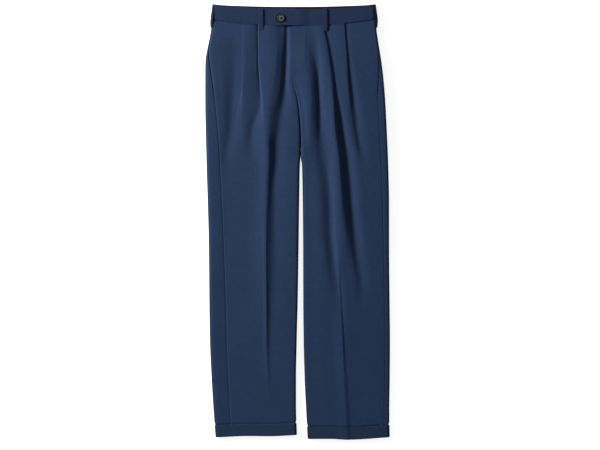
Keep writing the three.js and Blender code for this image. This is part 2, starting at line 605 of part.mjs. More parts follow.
// The band's side fold at a share of its height: the middle of its round and its crest.
function bandFold(half, share) {
  const s = half.side;
  const edge = along(half.sections, "edge", WAIST_Y) - s * BAND_TAPER * share;
  const x = edge - s * (BAND_CLOTH / 2 + EDGE_RADIUS);
  return { x, crest: bandFrontZ(x) };
}

// The band's ring at a share of its height, from the centre front to the centre back.
function bandCurve(half, share, frontEnd) {
  const s = half.side;
  const { x: centre, crest } = bandFold(half, share);
  const lap = (x) => (s > 0 ? tabRise(x) : 0);
  const front = BAND_FRONT_SHARES.map((t) => {
    const x = lerp(frontEnd, centre, t);
    return { x, y: bandFrontY(x, share), z: bandFrontZ(x) + lap(x) };
  });
  const fold = BAND_FOLD_TURNS.map((t) => {
    const angle = Math.PI * t;
    const x = centre + s * EDGE_RADIUS * Math.sin(angle);
    const y = lerp(bandFrontY(x, share), bandBackY(x, share), ease(t));
    return { x, y, z: (crest + BAND_BACK_Z) / 2 + ((crest - BAND_BACK_Z) / 2) * Math.cos(angle) };
  });
  const backEnd = CENTRE_BACK[0].x + (s * SEAM_GAP) / 2;
  const back = BAND_BACK_SHARES.map((t) => {
    const x = lerp(centre, backEnd, t);
    return { x, y: bandBackY(x, share), z: BAND_BACK_Z };
  });
  return [...front, ...fold, ...back];
}

// Where the front end of each half of the band lies: under the tab, or along the tab's point.
const rightBandEnd = () => CENTRE_FRONT[0].x + FLY_LAP;
function tabEnd(share) {
  const off = share < TAB_TIP_SHARE ? share / TAB_TIP_SHARE : (1 - share) / (1 - TAB_TIP_SHARE);
  return lerp(TAB_SHOULDER_X, TAB_TIP_X, off);
}

function waistband(half, frontEnd) {
  const shares = [0, TAB_TIP_SHARE / 2, TAB_TIP_SHARE, (1 + TAB_TIP_SHARE) / 2, 1];
  const curves = shares.map((share) => bandCurve(half, share, frontEnd(share)));
  const face = (distance) => curves.map((points) => movedOut(half, 0, points, distance));
  return wall(face(BAND_CLOTH / 2), face(-BAND_CLOTH / 2));
}

// The strip that lines the inside of the band's back and shows above its front.
function bandLining() {
  const low = BACK_LIFT + BAND_CLOTH + SEAM_GAP;
  const row = (share, z) => BAND_LINING_X.map((x) => new THREE.Vector3(x, bandBackY(x, share), z));
  const face = (z) => BAND_LINING_SHARES.map((share) => row(share, z));
  return wall(face(low + LINING_CLOTH), face(low));
}

// ---- Belt loops -------------------------------------------------------------------------
// A loop as a strip over a base line: for each share of its length, the points across its
// width on the face of the cloth, with the way out from it.
function beltLoop(lineAcross, standOff, gap = SEAM_GAP) {
  const face = (thickness) =>
    LOOP_SHARES.map((share) =>
      lineAcross(share).map(({ point, out }) =>
        point.clone().addScaledVector(out, standOff(share) + gap + thickness),
      ),
    );
  return wall(face(LOOP_CLOTH), face(0));
}

// The outside of a front at a point, pleats and fly included.
function frontOutside(half, x, y) {
  const ringY = y - frontDip(x) * waistShare(y - frontDip(x));
  const sec = section(half, Math.min(WAIST_Y, ringY));
  let layers = 0;
  for (const rows of [half.crease, half.pleat]) {
    const out = half.side * (x - along(rows, "x", y));
    const depth = Math.max(0, along(rows, "depth", y));
    if (out < PLEAT_LIP / 2 && out > -(depth + PLEAT_FOOT)) layers = 2 * along(rows, "step", y);
  }
  return topHeight(sec, x) + layers + CLOTH / 2;
}

function frontLoop(half, x) {
  const top = bandFrontY(x, 1) - 0.5;
  const across = LOOP_ACROSS.map((w) => x + w * LOOP.width);
  const bandMiddle = (at) => bandFrontZ(at) + (half.side > 0 ? tabRise(at) : 0);
  const bandZ = Math.max(...across.map(bandMiddle)) + BAND_CLOTH / 2;
  const panelZ = Math.max(...across.map((at) => frontOutside(half, at, LOOP.bottom)));
  const out = new THREE.Vector3(0, 0, 1);
  const lineAcross = (share) => {
    const y = lerp(top, LOOP.bottom, share);
    const z = lerp(bandZ, panelZ, rise(LOOP_FALL, share));
    return across.map((at) => ({ point: new THREE.Vector3(at, y, z), out }));
  };
  const standOff = (share) => LOOP.standOff * Math.sin(Math.PI * share) ** LOOP_FULLNESS;
  return beltLoop(lineAcross, standOff);
}

// A back loop lies flat between the surface and the band.
function backLoop(x) {
  const top = bandBackY(x, 1) - 0.5;
  const ends = [x - LOOP.width / 2, x + LOOP.width / 2];
  const out = new THREE.Vector3(0, 0, -1);
  const lineAcross = (share) => {
    const y = lerp(top, LOOP.backBottom, share);
    return ends.map((at) => ({ point: new THREE.Vector3(at, y, LOOP_CLOTH + SEAM_GAP), out }));
  };
  return beltLoop(lineAcross, () => 0);
}

// A side loop bends round the fold, from under it to partly over the front. It hugs the band
// above and stands off most beside the waist seam.
function sideLoop(half) {
  const s = half.side;
  const lineAcross = (share) => {
    const y = lerp(BAND_TOP_Y - 0.5, SIDE_LOOP.bottom, share);
    const bandShare = clamp((y - WAIST_Y) / (BAND_TOP_Y - WAIST_Y), 0, 1);
    const onPanel = ease((WAIST_Y - y) / SIDE_LOOP.settle);
    const band = bandFold(half, bandShare);
    const ring = section(half, Math.min(y, WAIST_Y));
    const crest = lerp(band.crest, topHeight(ring, ring.outerCentre), onPanel);
    const floor = lerp(BAND_BACK_Z, ring.floor, onPanel);
    const wallHalf = lerp(BAND_CLOTH, CLOTH, onPanel) / 2;
    const centre = lerp(band.x, ring.outerCentre, onPanel);
    const wide = EDGE_RADIUS + wallHalf;
    const high = (crest - floor) / 2 + wallHalf;
    return SIDE_LOOP_TURNS.map((angle) => {
      const x = centre + s * wide * Math.cos(angle);
      const z = (crest + floor) / 2 + high * Math.sin(angle);
      const out = new THREE.Vector3((s * Math.cos(angle)) / wide, 0, Math.sin(angle) / high);
      return { point: new THREE.Vector3(x, y, z), out: out.normalize() };
    });
  };
  const standOff = (share) =>
    SIDE_LOOP.standOff * Math.sin(Math.PI * share ** SIDE_LOOP.droop) ** LOOP_FULLNESS;
  return beltLoop(lineAcross, standOff, BENT_SEAM_GAP);
}

// ---- Button -----------------------------------------------------------------------------
// A turned four-hole button: a dished disc with a raised rim.
function buttonGeometry(wasm) {
  const { radius, height, rim, bevel, dish } = BUTTON;
  const profile = [
    [0, 0], [radius - bevel, 0], [radius, bevel], [radius, height - bevel],
    [radius - bevel, height], [radius - rim, height], [radius - rim - dish, height - dish],
    [0, height - dish],
  ].map(([r, z]) => new THREE.Vector2(r, z));
  const lathe = new THREE.LatheGeometry(profile, 40).rotateX(Math.PI / 2);
  const asSolid = (geometry) => {
    const bare = geometry.clone();
    bare.deleteAttribute("normal");
    bare.deleteAttribute("uv");
    const merged = mergeVertices(bare, 1e-4);
    return new wasm.Manifold(
      new wasm.Mesh({
        numProp: 3,
        vertProperties: merged.attributes.position.array,
        triVerts: new Uint32Array(merged.index.array),
      }),
    );
  };
  let disc = asSolid(lathe);
  const { radius: hole, spread } = BUTTON_HOLES;
  for (const [i, j] of [[-1, -1], [-1, 1], [1, -1], [1, 1]]) {
    const drill = new THREE.CylinderGeometry(hole, hole, 3 * height, 10).rotateX(Math.PI / 2);
    disc = disc.subtract(asSolid(drill.translate(i * spread, j * spread, 0)));
  }
  const mesh = disc.getMesh();
  const geometry = new THREE.BufferGeometry();
  geometry.setAttribute("position", new THREE.BufferAttribute(mesh.vertProperties, 3));
  geometry.setIndex(new THREE.BufferAttribute(mesh.triVerts, 1));
  geometry.computeVertexNormals();
  return geometry;
}

// ---- The garment ------------------------------------------------------------------------
const finish = (name, color, roughness) =>
  new THREE.MeshStandardMaterial({ name, color, roughness, metalness: 0 });
const suiting = finish("suiting", 0x2b3a57, 0.85);
const lining = finish("lining", 0x22222c, 0.6);
const horn = finish("horn", 0x2c2e2c, 0.35);

const trousers = new THREE.Group();
function add(name, geometry, material = suiting) {
  const mesh = new THREE.Mesh(geometry, material);
  mesh.name = name;
  trousers.add(mesh);
  return mesh;
}

for (const [name, half] of Object.entries(HALVES)) {
  add(`front_${name}`, frontPanel(half));
  add(`back_${name}`, backPanel(half));
  add(`cuff_${name}`, cuff(half));
  add(`pocket_facing_${name}`, pocketFacing(half));
  add(`belt_loop_front_${name}`, frontLoop(half, FRONT_LOOPS_X[name]));
  add(`belt_loop_side_${name}`, sideLoop(half));
}
for (const [name, x] of Object.entries(BACK_LOOPS_X)) add(`belt_loop_back_${name}`, backLoop(x));
add("waistband_right", waistband(HALVES.right, rightBandEnd));
add("waistband_left", waistband(HALVES.left, tabEnd));
add("waistband_lining", bandLining(), lining);

const wasm = await Module();
wasm.setup();
const button = add("button", buttonGeometry(wasm), horn);
const tabOutside = bandFrontZ(BUTTON.x) + tabRise(BUTTON.x) + BAND_CLOTH / 2;
button.position.set(BUTTON.x, BUTTON.y, tabOutside + SEAM_GAP);

export default trousers;
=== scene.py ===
"""Pleated dress trousers, laid on their back with the front uppermost."""

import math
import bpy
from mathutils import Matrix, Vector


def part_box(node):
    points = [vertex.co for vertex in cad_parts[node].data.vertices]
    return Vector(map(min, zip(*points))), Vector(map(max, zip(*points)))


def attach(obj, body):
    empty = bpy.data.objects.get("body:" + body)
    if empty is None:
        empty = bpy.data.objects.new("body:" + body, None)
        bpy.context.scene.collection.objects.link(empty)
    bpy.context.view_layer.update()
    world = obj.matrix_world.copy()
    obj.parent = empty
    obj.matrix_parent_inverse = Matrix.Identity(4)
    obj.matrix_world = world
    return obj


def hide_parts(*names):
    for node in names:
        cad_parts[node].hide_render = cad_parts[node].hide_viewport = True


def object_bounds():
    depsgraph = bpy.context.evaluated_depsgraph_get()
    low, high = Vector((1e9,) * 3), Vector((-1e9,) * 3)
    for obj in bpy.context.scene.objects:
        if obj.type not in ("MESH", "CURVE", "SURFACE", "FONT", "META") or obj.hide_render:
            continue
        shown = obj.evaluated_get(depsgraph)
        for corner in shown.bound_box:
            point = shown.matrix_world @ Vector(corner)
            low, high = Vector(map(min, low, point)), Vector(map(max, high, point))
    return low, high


bl_info = {
    "name": "Pleated dress trousers",
    "version": (1, 0, 0),
    "blender": (4, 5, 0),
    "location": "View3D > Sidebar > Trousers",
    "description": "Builds the cloth, seams and button of a pair of pleated dress trousers",
    "category": "Object",
}

from types import SimpleNamespace

import bpy
import numpy as np
from mathutils import Vector

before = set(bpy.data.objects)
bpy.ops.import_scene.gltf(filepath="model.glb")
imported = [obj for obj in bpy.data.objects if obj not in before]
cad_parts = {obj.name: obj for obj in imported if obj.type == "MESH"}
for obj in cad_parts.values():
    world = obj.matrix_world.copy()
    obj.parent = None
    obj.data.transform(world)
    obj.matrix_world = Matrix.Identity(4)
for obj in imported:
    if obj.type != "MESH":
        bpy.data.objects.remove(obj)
CAD_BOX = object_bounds()

# ---- Driving sizes, in millimetres ---------------------------------------------------------
MM = 0.001  # metres in one
SEAM_GAP = 0.3
BENT_SEAM_GAP = 0.55  # the same, where the seam lies on a tight fold
CLOTH = 1.1
BAND_CLOTH = 2.2
LINING_CLOTH = 1.0
CUFF_CLOTH = 1.4
LOOP_CLOTH = 1.3
FACING_CLOTH = 1.0
LAYER_PITCH = CLOTH + 0.35

WAIST_Y = 505.0
CROTCH_Y = 165.0
HEM_Y = -538.0
PANEL_END_Y = -536.3
CUFF_HEIGHT = 30.0
CUFF_TOP_Y = HEM_Y + CUFF_HEIGHT
CUFF_STEP = 12.0  # the leg narrows into its turn-up over this length
CUFF_OUTER_POINTS = 22  # points of the turn-up's profile that lie outside, down to its fold
GROOVE_DEPTH = 1.3  # how far the leg is pressed in along the turn-up's top edge
GROOVE_WIDTH = 2.4
FLY_END_Y = 372.0
FLY_LAP = 12.0
FLY_WIDTH = 45.0
FLY_SLOPE = (7.0, 20.0)  # the fly's layers end this far past its width, in a slope this wide

WAIST_SAG_Y = 320.0  # the waist's sag reaches down to here
HEM_UNEVEN_Y = -420.0  # and the hem's unevenness up to here
FRONT_WAIST_DIP = 16.0
BACK_WAIST_DIP = 7.0
WAIST_MIDDLE = -8.25
WAIST_HALF = 204.75
BAND_TOP_Y = 543.0
FRONT_TOP_DIP = 11.0
BACK_TOP_DIP = 5.6
BACK_LIFT = LOOP_CLOTH + 0.5  # the back of the waist lies on its belt loops
BACK_LIFT_Y = (440.0, 466.0)

EDGE_RADIUS = 8.0
EDGE_SHARE = 0.99
CENTRE_SHARE = 0.98
INNER_CROWN = 0.14
OUTER_CROWN = 0.12
FOLDS_FADE = (0.07, 0.06)  # shares of the width where soft folds die out: inner edge, outer fold
# Painted shade on the folds' upper shoulders, near the outline: how dark, how far in, how wide.
RIM_SHADE = 0.86  # how much darker a fold is along its upper shoulder
RIM_INSET = 1.3
RIM_WIDTH = 1.2
SEAM_WIDTH = 1.6  # of the groove beside a seam
BAND_SEAM_WIDTH = 2.2  # of the groove below the waistband
CENTRE_GAP = -0.1  # the scene's centre seams are drawn shut
CROTCH_RADIUS = 6.5
CROTCH_BLEND = 60.0  # the folds beside the crotch seam tighten over this length
FOLD_SQUARENESS = 3.0  # 2 is a round fold

POCKET_TOP_Y = 480.0
POCKET_END_Y = 310.0
POCKET_GAPE = 1.8
FACING_HALF_WIDTH = 8.0

TAB_TIP_X = -58.5
TAB_SHOULDER_X = -44.0
TAB_TIP_SHARE = 0.42
TAB_RAMP_X = (4.0, 34.0)  # the tab comes down off the other half of the band here
TAB_CLEARANCE = 0.35

BUTTON_X = -41.0
BUTTON_Y = 507.0
BUTTON_RADIUS = 9.6
BUTTON_SPREAD = 1.9
BUTTONHOLE_X = (-55.8, -34.0)
SLIT_END_X = -50.0  # the slit shows from the hole's outer end to the button
HOLLOW = (1.6, 1.5)  # the tab's hollow round the button: how far out, and how wide
HOLLOW_DEPTH = 0.9
LINING_X = (-195.0, 178.0)
LINING_SHARES = (0.99, 0.25)  # of the band's height, from its upper to its lower edge
FLY_STITCH_X = 20.0
FLY_STITCH_Y = (484.0, 402.0)  # the straight part of the fly's stitch line
FLY_STITCH_TURN = (31.0, 30.0)  # half sizes of the bend that follows, across and along
TAB_TOP_DROP = 3.0
BAND_TOP_DROP = 0.8
LOOP_WIDTH = 11.5
LOOP_STAND_OFF = 2.2
FRONT_LOOP_LIFT = 0.75  # share of that by which a front loop stands off in the middle
FRONT_LOOP_FULLNESS = 0.3  # the lower, the sooner it stands off from its ends
SIDE_LOOP_FULLNESS = 0.8
# The side loops' colour is darkened all over by this factor: painted shade.
SIDE_LOOP_SHADE = 0.55
LOOP_FALL = (0.55, 1.0)  # shares of a front loop between which it comes down to the front
LOOP_BOTTOM = 476.0
BACK_LOOP_BOTTOM = 482.0
FRONT_LOOPS_X = {"right": -91.0, "left": 69.0}
BACK_LOOPS_X = {"right": -112.0, "centre": -3.0, "left": 104.0}
SIDE_LOOP_STAND_OFF = 2.8
SIDE_LOOP_BOTTOM = 484.0
SIDE_LOOP_SETTLE = 6.0
SIDE_LOOP_DROOP = 1.8
SIDE_LOOP_TURN = (-0.55, 1.0)  # angles round the fold, from level


# ---- Tables --------------------------------------------------------------------------------
class Rows:
    """A short table with named columns. Between its rows it follows a curve that never overshoots
    them."""

    def __init__(self, names, *rows):
        self.columns = dict(zip(names.split(), np.array(rows, float).T))

    def at(self, column, key, by="y"):
        """The column where the table's key has this value, by cubic pieces whose slope at a row is
        nothing at a peak and otherwise the harmonic mean of the slopes on both sides."""
        keys, values = self.columns[by], self.columns[column]
        order = 1.0 if keys[-1] > keys[0] else -1.0
        keys = keys * order
        here = np.clip(np.asarray(key, float) * order, keys[0], keys[-1])
        span = np.diff(values) / np.diff(keys)
        product = span[:-1] * span[1:]
        same = product > 0
        inner = np.where(same, 2 * product / np.where(same, span[:-1] + span[1:], 1.0), 0.0)
        slope = np.concatenate([span[:1], inner, span[-1:]])
        i = np.clip(np.searchsorted(keys, here, side="right") - 1, 0, len(keys) - 2)
        width = keys[i + 1] - keys[i]
        t = (here - keys[i]) / width
        return (
            values[i] * (1 + 2 * t) * (1 - t) ** 2
            + slope[i] * width * t * (1 - t) ** 2
            + values[i + 1] * t * t * (3 - 2 * t)
            + slope[i + 1] * width * t * t * (t - 1)
        )


CENTRE_FRONT = Rows(
    "y x",
    (505, -13.5), (420, -13.5), (372, -13), (345, -10),
    (305, 0), (247, 6.6), (200, 8.2), (165, 8.2),
)
CENTRE_BACK = Rows("y x", (505, -3), (300, 1), (200, 7), (165, 8))
ROLL = Rows(
    "y front back",
    (505, 0, 0), (372, 0, 0), (345, 25, 0), (305, 50, 0),
    (260, 68, 0), (220, 84, 30), (192, 94, 62), (165, 100, 80),
)
SECTION = "y edge seam inner loft"
FOLD_TURN = "y x depth step"
SOFT_FOLD = "y x height before after"
LAY = "y inner inner_crown outer outer_crown"

RIGHT = SimpleNamespace(
    name="right",
    side=-1.0,
    seam_sink=1.0,
    sections=Rows(
        SECTION,
        (505, -213, 1, 8, 15), (480, -215.5, 1, 8, 17), (455, -219.6, 1.5, 8, 19.5),
        (430, -224.9, 4, 8, 21.5), (400, -229.4, 9, 8, 23), (360, -230, 16, 8, 24),
        (305, -230, 23, 8, 24.5), (195, -228, 31.5, 8, 24), (165, -227.2, 32.5, 8, 23.5),
        (140, -226.6, 33, 6.2, 23), (55, -224, 34.5, 4.7, 21), (-70, -221, 36.5, 3, 18),
        (-195, -220, 40, 1, 15.5), (-295, -218.5, 41, -1.5, 14), (-395, -214, 40.5, -3.3, 13),
        (-470, -209.5, 39.5, -3.2, 12.5), (-538, -204.3, 38, -1, 12),
    ),
    crease=Rows(
        FOLD_TURN,
        (505, -97, 26, 1.05), (462, -97, 22, 1.05), (405, -96.5, 14, 1.05), (354, -92, 8, 1.05),
        (305, -87, 1, 1.3), (250, -84, -5, 0.4), (195, -81, -8, 0.1), (95, -79, -8, 0.1),
        (-5, -80, -6, 0.4),
        (-95, -79.3, -5, 0.6), (-195, -78.5, -5, 0.7), (-295, -77.8, -5, 0.6),
        (-370, -76.5, -5, 0.3), (-440, -73, -6, 0.08), (-538, -68, -6, 0.05),
    ),
    pleat=Rows(
        FOLD_TURN,
        (505, -137, 22, 1.05), (405, -136.8, 10, 1.05), (330, -138, 0, 1.1),
        (260, -139.5, -10, 0.5), (180, -139, -14, 0), (-100, -128, -14, 0), (-538, -112, -14, 0),
    ),
    hem=Rows("x rise", (-205, 0.4), (-120, 3.6), (-70, 3.2), (0, 6.4)),
    lay=Rows(
        LAY,
        (505, 0.98, 0.14, 0.99, 0.12), (440, 0.98, 0.14, 1.16, 0.38), (300, 0.98, 0.14, 1.14, 0.34),
        (165, 0.98, 0.14, 1.1, 0.2), (105, 1.08, 0.3, 1.12, 0.2), (-100, 1.13, 0.36, 1.15, 0.2),
        (-300, 1.14, 0.36, 1.18, 0.2), (-538, 1.08, 0.3, 1.1, 0.2),
    ),
    folds=[
        Rows(  # the long trough from the fly's top to the crease
            SOFT_FOLD,
            (486, -26, -3.4, 5, 7), (442, -27.5, -5.4, 6, 9), (405, -28.5, -6.6, 7.5, 9),
            (355, -31.5, -6.8, 7.5, 10), (305, -35, -5.6, 10, 16), (267, -42, -4.6, 12, 20),
            (230, -46, -4.2, 12, 24), (192, -57, -5, 8.5, 26), (155, -59, -4.6, 8, 26),
            (80, -66, -2.4, 7.5, 28), (5, -66, -1.4, 8, 26), (-95, -68, -1, 7, 22),
            (-190, -69, -0.8, 6, 18), (-280, -69.5, -0.5, 5, 16), (-360, -69, 0, 5, 12),
        ),
        Rows(  # below the pocket
            SOFT_FOLD,
            (490, -156, 0, 14, 16), (430, -157, -1.2, 16, 16), (355, -160, -3, 14, 18),
            (292, -163, -3.6, 13, 20), (230, -165, -3.6, 13, 20), (180, -173, -2, 14, 18),
            (110, -180, 0, 16, 18),
        ),
        Rows(  # between the pleats
            SOFT_FOLD,
            (400, -99, 0, 8, 2), (355, -95.5, -1.8, 10, 2.5), (292, -93, -3, 16, 4),
            (230, -113, -3, 10, 16), (150, -118, 0, 12, 14),
        ),
        Rows(  # the swell of the thigh beside the crease
            SOFT_FOLD,
            (486, -52, 2.5, 30, 10), (405, -54, 4, 28, 10), (355, -60, 4.4, 22, 12),
            (305, -65, 4.8, 18, 18), (267, -71.5, 4.2, 18, 16), (230, -74.5, 4.6, 20, 14),
            (192, -73.5, 6, 22, 9.5), (155, -71.5, 5.6, 22, 8.5), (80, -74, 5, 20, 8),
            (5, -78, 5, 24, 12), (-95, -79.5, 4, 26, 13), (-195, -78.5, 2.8, 32, 8),
            (-295, -78, 1.6, 38, 6), (-370, -75, 0.9, 42, 6), (-430, -72, 0.4, 44, 6),
            (-500, -68, 0, 44, 6),
        ),
        Rows(  # the pressed ridge along the lower crease
            SOFT_FOLD,
            (60, -77, 0, 8, 4), (5, -79.5, 0.9, 8, 4), (-95, -79.5, 1.2, 9, 3.4),
            (-195, -78.5, 1.1, 10, 3.4), (-295, -77.5, 0.8, 10, 3.4), (-360, -76, 0.4, 10, 4),
            (-420, -73, 0, 10, 4),
        ),
        Rows(  # the hollow under the first pleat's edge
            SOFT_FOLD,
            (500, -98.4, -1.8, 2.6, 0.9), (405, -97.8, -2.2, 3, 1), (354, -93.2, -2.6, 5, 1.2),
            (305, -88.2, -1.4, 6, 1.4), (285, -87, 0, 6, 1.4),
        ),
    ],
)
LEFT = SimpleNamespace(
    name="left",
    side=1.0,
    seam_sink=0.3,
    sections=Rows(
        SECTION,
        (505, 196.5, 1, 8, 15), (480, 197.5, 1, 8, 17), (455, 200.9, 1.5, 8, 19.5),
        (430, 204.8, 2.5, 8, 21.5), (400, 209.6, 6, 8, 23), (360, 214.5, 12, 8, 24),
        (305, 219, 18, 8, 24.5), (195, 224.7, 18.5, 8, 24), (165, 226, 18, 8, 23.5),
        (140, 226.8, 17.5, 11.4, 23), (55, 228.8, 16, 13.3, 21), (-70, 229, 13.5, 14.3, 18),
        (-195, 230.2, 12.5, 14.5, 15.5), (-295, 231.2, 12, 15.5, 14), (-395, 230.6, 12, 18, 13),
        (-470, 229.5, 12, 21.7, 12.5), (-538, 230.4, 13, 25.5, 12),
    ),
    crease=Rows(
        FOLD_TURN,
        (505, 64, 26, 1.05), (477, 66.8, 23, 1.05), (446, 73.8, 20, 1.05), (405, 80.3, 14, 1.05),
        (367, 87.3, 9, 1.05), (330, 91, 6, 1.05), (300, 92.5, 1, 1.2), (262, 93.5, -5, 0.9),
        (180, 98, -6, 0.2), (80, 103.5, -6, 0), (-70, 103, -4, 0), (-110, 103.8, -2.2, 0.5),
        (-145, 105, -2.2, 0.95), (-195, 108, -2.2, 1.05), (-295, 113.7, -2.2, 1.05),
        (-350, 116, -3.5, 0.95), (-395, 118.5, -5, 0.9), (-538, 126, -5, 0.8),
    ),
    pleat=Rows(
        FOLD_TURN,
        (505, 117.5, 22, 1.05), (455, 120.3, 18, 1.05), (412, 124, 12, 1.05),
        (370, 126, 5, 1.05), (320, 129.6, -3, 1.2), (262, 138, -9, 0.3), (190, 152, -14, 0),
        (100, 163, -14, 0), (-100, 170, -14, 0), (-538, 178, -14, 0),
    ),
    hem=Rows("x rise", (25, -4), (85, -3.6), (126, -5.4), (230, 0.6)),
    lay=Rows(
        LAY,
        (505, 0.98, 0.14, 0.99, 0.12), (165, 0.98, 0.14, 0.99, 0.12), (105, 0.84, 0.28, 0.99, 0.12),
        (-100, 0.82, 0.28, 0.99, 0.12), (-300, 0.86, 0.28, 0.99, 0.12),
        (-538, 0.9, 0.28, 0.99, 0.12),
    ),
    folds=[
        Rows(  # beside the fly and down the inner thigh
            SOFT_FOLD,
            (490, 42, 0, 10, 10), (442, 46.5, -1.2, 10, 9), (405, 49, -2.8, 10, 8),
            (355, 52, -4.8, 6.8, 6.5), (292, 54.5, -6.2, 6.4, 8), (230, 57, -5.2, 8, 14),
            (192, 61, -4.4, 13, 22), (155, 68, -4.8, 18, 17), (117, 75.5, -5.6, 18, 11),
            (80, 79.5, -6.4, 17.5, 9), (42, 81.5, -6.8, 17, 9), (5, 83, -6.6, 17, 9),
            (-33, 84.5, -6.4, 17, 9), (-70, 88, -6.2, 15, 9), (-108, 92, -5.4, 14, 9.5),
            (-150, 98, -4.6, 13, 10), (-220, 106, -2.2, 15, 9), (-290, 110, 0, 16, 9),
        ),
        Rows(  # the fly's swell
            SOFT_FOLD,
            (490, 20, 0, 24, 14), (442, 26, 1.4, 26, 14), (405, 28, 2.2, 26, 14),
            (355, 31, 3.8, 26, 10), (292, 32.5, 4, 24, 9.5), (230, 31, 2.8, 22, 12),
            (180, 28, 0, 20, 14),
        ),
        Rows(  # the deep one that the first pleat opens into
            SOFT_FOLD,
            (500, 66, -1.2, 1.4, 3.5), (446, 77, -1.8, 1.8, 5), (405, 83.4, -2.2, 2, 5),
            (367, 89, -2.2, 2.2, 5.5), (330, 93.4, -3, 2.6, 6), (292, 98, -5.6, 4.2, 8),
            (262, 102, -8.6, 6, 11), (230, 106, -9, 6.2, 13), (192, 112.5, -9.2, 7, 15),
            (155, 118, -9.2, 7.4, 17), (117, 122.5, -9, 7.4, 17), (80, 127, -8.6, 7.8, 17),
            (42, 131, -8.2, 8.5, 14), (5, 136.5, -7.4, 9.5, 15), (-33, 141.5, -6.2, 10, 15),
            (-70, 146.5, -5.2, 9.8, 16), (-108, 151.5, -4.2, 9, 16),
            (-150, 158, -2.8, 9, 16), (-220, 162, 0, 12, 16),
        ),
        Rows(  # the one that the second pleat opens into
            SOFT_FOLD,
            (500, 119, -1.2, 1.4, 3.5), (455, 122.2, -1.6, 1.8, 4.5), (412, 126.1, -2, 2, 5),
            (370, 129.3, -3.2, 3, 9), (335, 132.8, -4, 4, 11), (292, 139, -4.4, 6.5, 13),
            (267, 145, -4.4, 10, 13), (230, 148.8, -3.6, 8, 12), (192, 155, -3, 7, 13),
            (155, 163, -1, 9, 14), (120, 170, 0, 11, 14),
        ),
        Rows(  # the swell of the thigh beside the crease
            SOFT_FOLD,
            (486, 62, 1.5, 20, 12), (405, 74, 2.6, 18, 12), (354, 82, 2.4, 16, 7),
            (305, 87, 3, 16, 7), (262, 91, 4.2, 16, 8), (192, 98, 4.8, 17, 8),
            (155, 102.5, 4.8, 18, 8),
            (117, 104, 5, 18, 8.5), (80, 107, 5, 18, 9), (42, 109.5, 4.8, 18, 10),
            (5, 112.5, 4.2, 18, 11), (-33, 115.5, 3.2, 20, 12), (-70, 118, 2, 22, 13),
            (-120, 120, 0, 24, 14),
        ),
        Rows(  # the swell beside the lower crease
            SOFT_FOLD,
            (-40, 105, 0, 14, 30), (-100, 104, 1.2, 16, 40), (-150, 105.5, 1.6, 16, 40),
            (-300, 114.5, 1, 20, 30), (-480, 124, 0.6, 20, 18),
        ),
    ],
)
HALVES = {"right": RIGHT, "left": LEFT}
QUARTER = EDGE_RADIUS * math.pi / 2


# ---- Small helpers -------------------------------------------------------------------------
def lerp(a, b, t):
    return a + (b - a) * t


def ease(t):
    """Nothing below 0, one above 1, and 3t² - 2t³ between."""
    c = np.clip(t, 0.0, 1.0)
    return c * c * (3 - 2 * c)


def bell(distance, width):
    """A bell curve: one at no distance, and 1 / e where the distance is the width."""
    return np.exp(-((distance / width) ** 2))


# ---- The lie of the cloth ------------------------------------------------------------------
def between(value, start, end):
    """Nothing at the start, one at the end, and eased between."""
    return ease((value - start) / (end - start))


def sag(x):
    """One in the middle of the waist and nothing at its side folds."""
    return 1 - np.minimum(1.0, np.abs(x - WAIST_MIDDLE) / WAIST_HALF) ** 2.2


def lengthwise(half, y, x, on_back):
    """Where a point of the ring at y lies along the garment: near the waist it sags with the waist
    seam, and near the hem it rises with the hem."""
    dip = np.where(on_back, -BACK_WAIST_DIP, -FRONT_WAIST_DIP) * sag(x)
    waist = between(y, WAIST_SAG_Y, WAIST_Y)
    hem = between(y, HEM_UNEVEN_Y, HEM_Y)
    return y + dip * waist + half.hem.at("rise", x, "x") * hem


def cuff_inset(y):
    return (CUFF_CLOTH + SEAM_GAP) * between(y, CUFF_TOP_Y + CUFF_STEP, CUFF_TOP_Y)


def fly_share(y):
    return between(y, FLY_END_Y - 4, FLY_END_Y + 12)


def pocket_gape(y):
    """Width of the side seam's gap: a seam's, or wider along the pocket's mouth."""
    mouth = ease((POCKET_TOP_Y - y) / 10) * ease((y - POCKET_END_Y) / 10)
    return lerp(SEAM_GAP, POCKET_GAPE, mouth)


def ring_at(half, y):
    """The measures of one half's ring at y, a column of heights. The ring is the cloth's middle."""
    y = np.asarray(y, float).reshape(-1, 1)
    side = half.side
    inset = cuff_inset(y) + CLOTH / 2
    floor = BACK_LIFT * between(y, *BACK_LIFT_Y) + inset
    rolled = lerp(EDGE_RADIUS, CROTCH_RADIUS, ease((y - CROTCH_Y) / CROTCH_BLEND))
    radius = np.where(y > CROTCH_Y, rolled, EDGE_RADIUS)
    roll = np.radians(ROLL.at("front", y))
    back_roll = np.radians(ROLL.at("back", y))
    turned = np.sin(np.minimum(roll, np.pi / 2))
    below = y < CROTCH_Y
    inner = half.sections.at("inner", y)
    front_centre = np.where(
        below,
        inner + side * (inset + radius),
        CENTRE_FRONT.at("x", y) + side * (CENTRE_GAP / 2 + CLOTH / 2 * turned + radius * turned),
    )
    back_turned = np.sin(back_roll)
    back_centre = np.where(
        below,
        front_centre,
        lerp(
            CENTRE_BACK.at("x", y) + side * (CENTRE_GAP / 2 + (CLOTH / 2 + radius) * back_turned),
            front_centre,
            ease((200 - y) / (200 - CROTCH_Y)),
        ),
    )
    return SimpleNamespace(
        half=half,
        y=y,
        loft=half.sections.at("loft", y),
        floor=floor,
        radius=radius,
        roll=roll,
        back_roll=back_roll,
        front_centre=front_centre,
        back_centre=back_centre,
        outer_centre=half.sections.at("edge", y) - side * (inset + EDGE_RADIUS),
        lay={name: half.lay.at(name, y) for name in LAY.split()[1:]},
    )


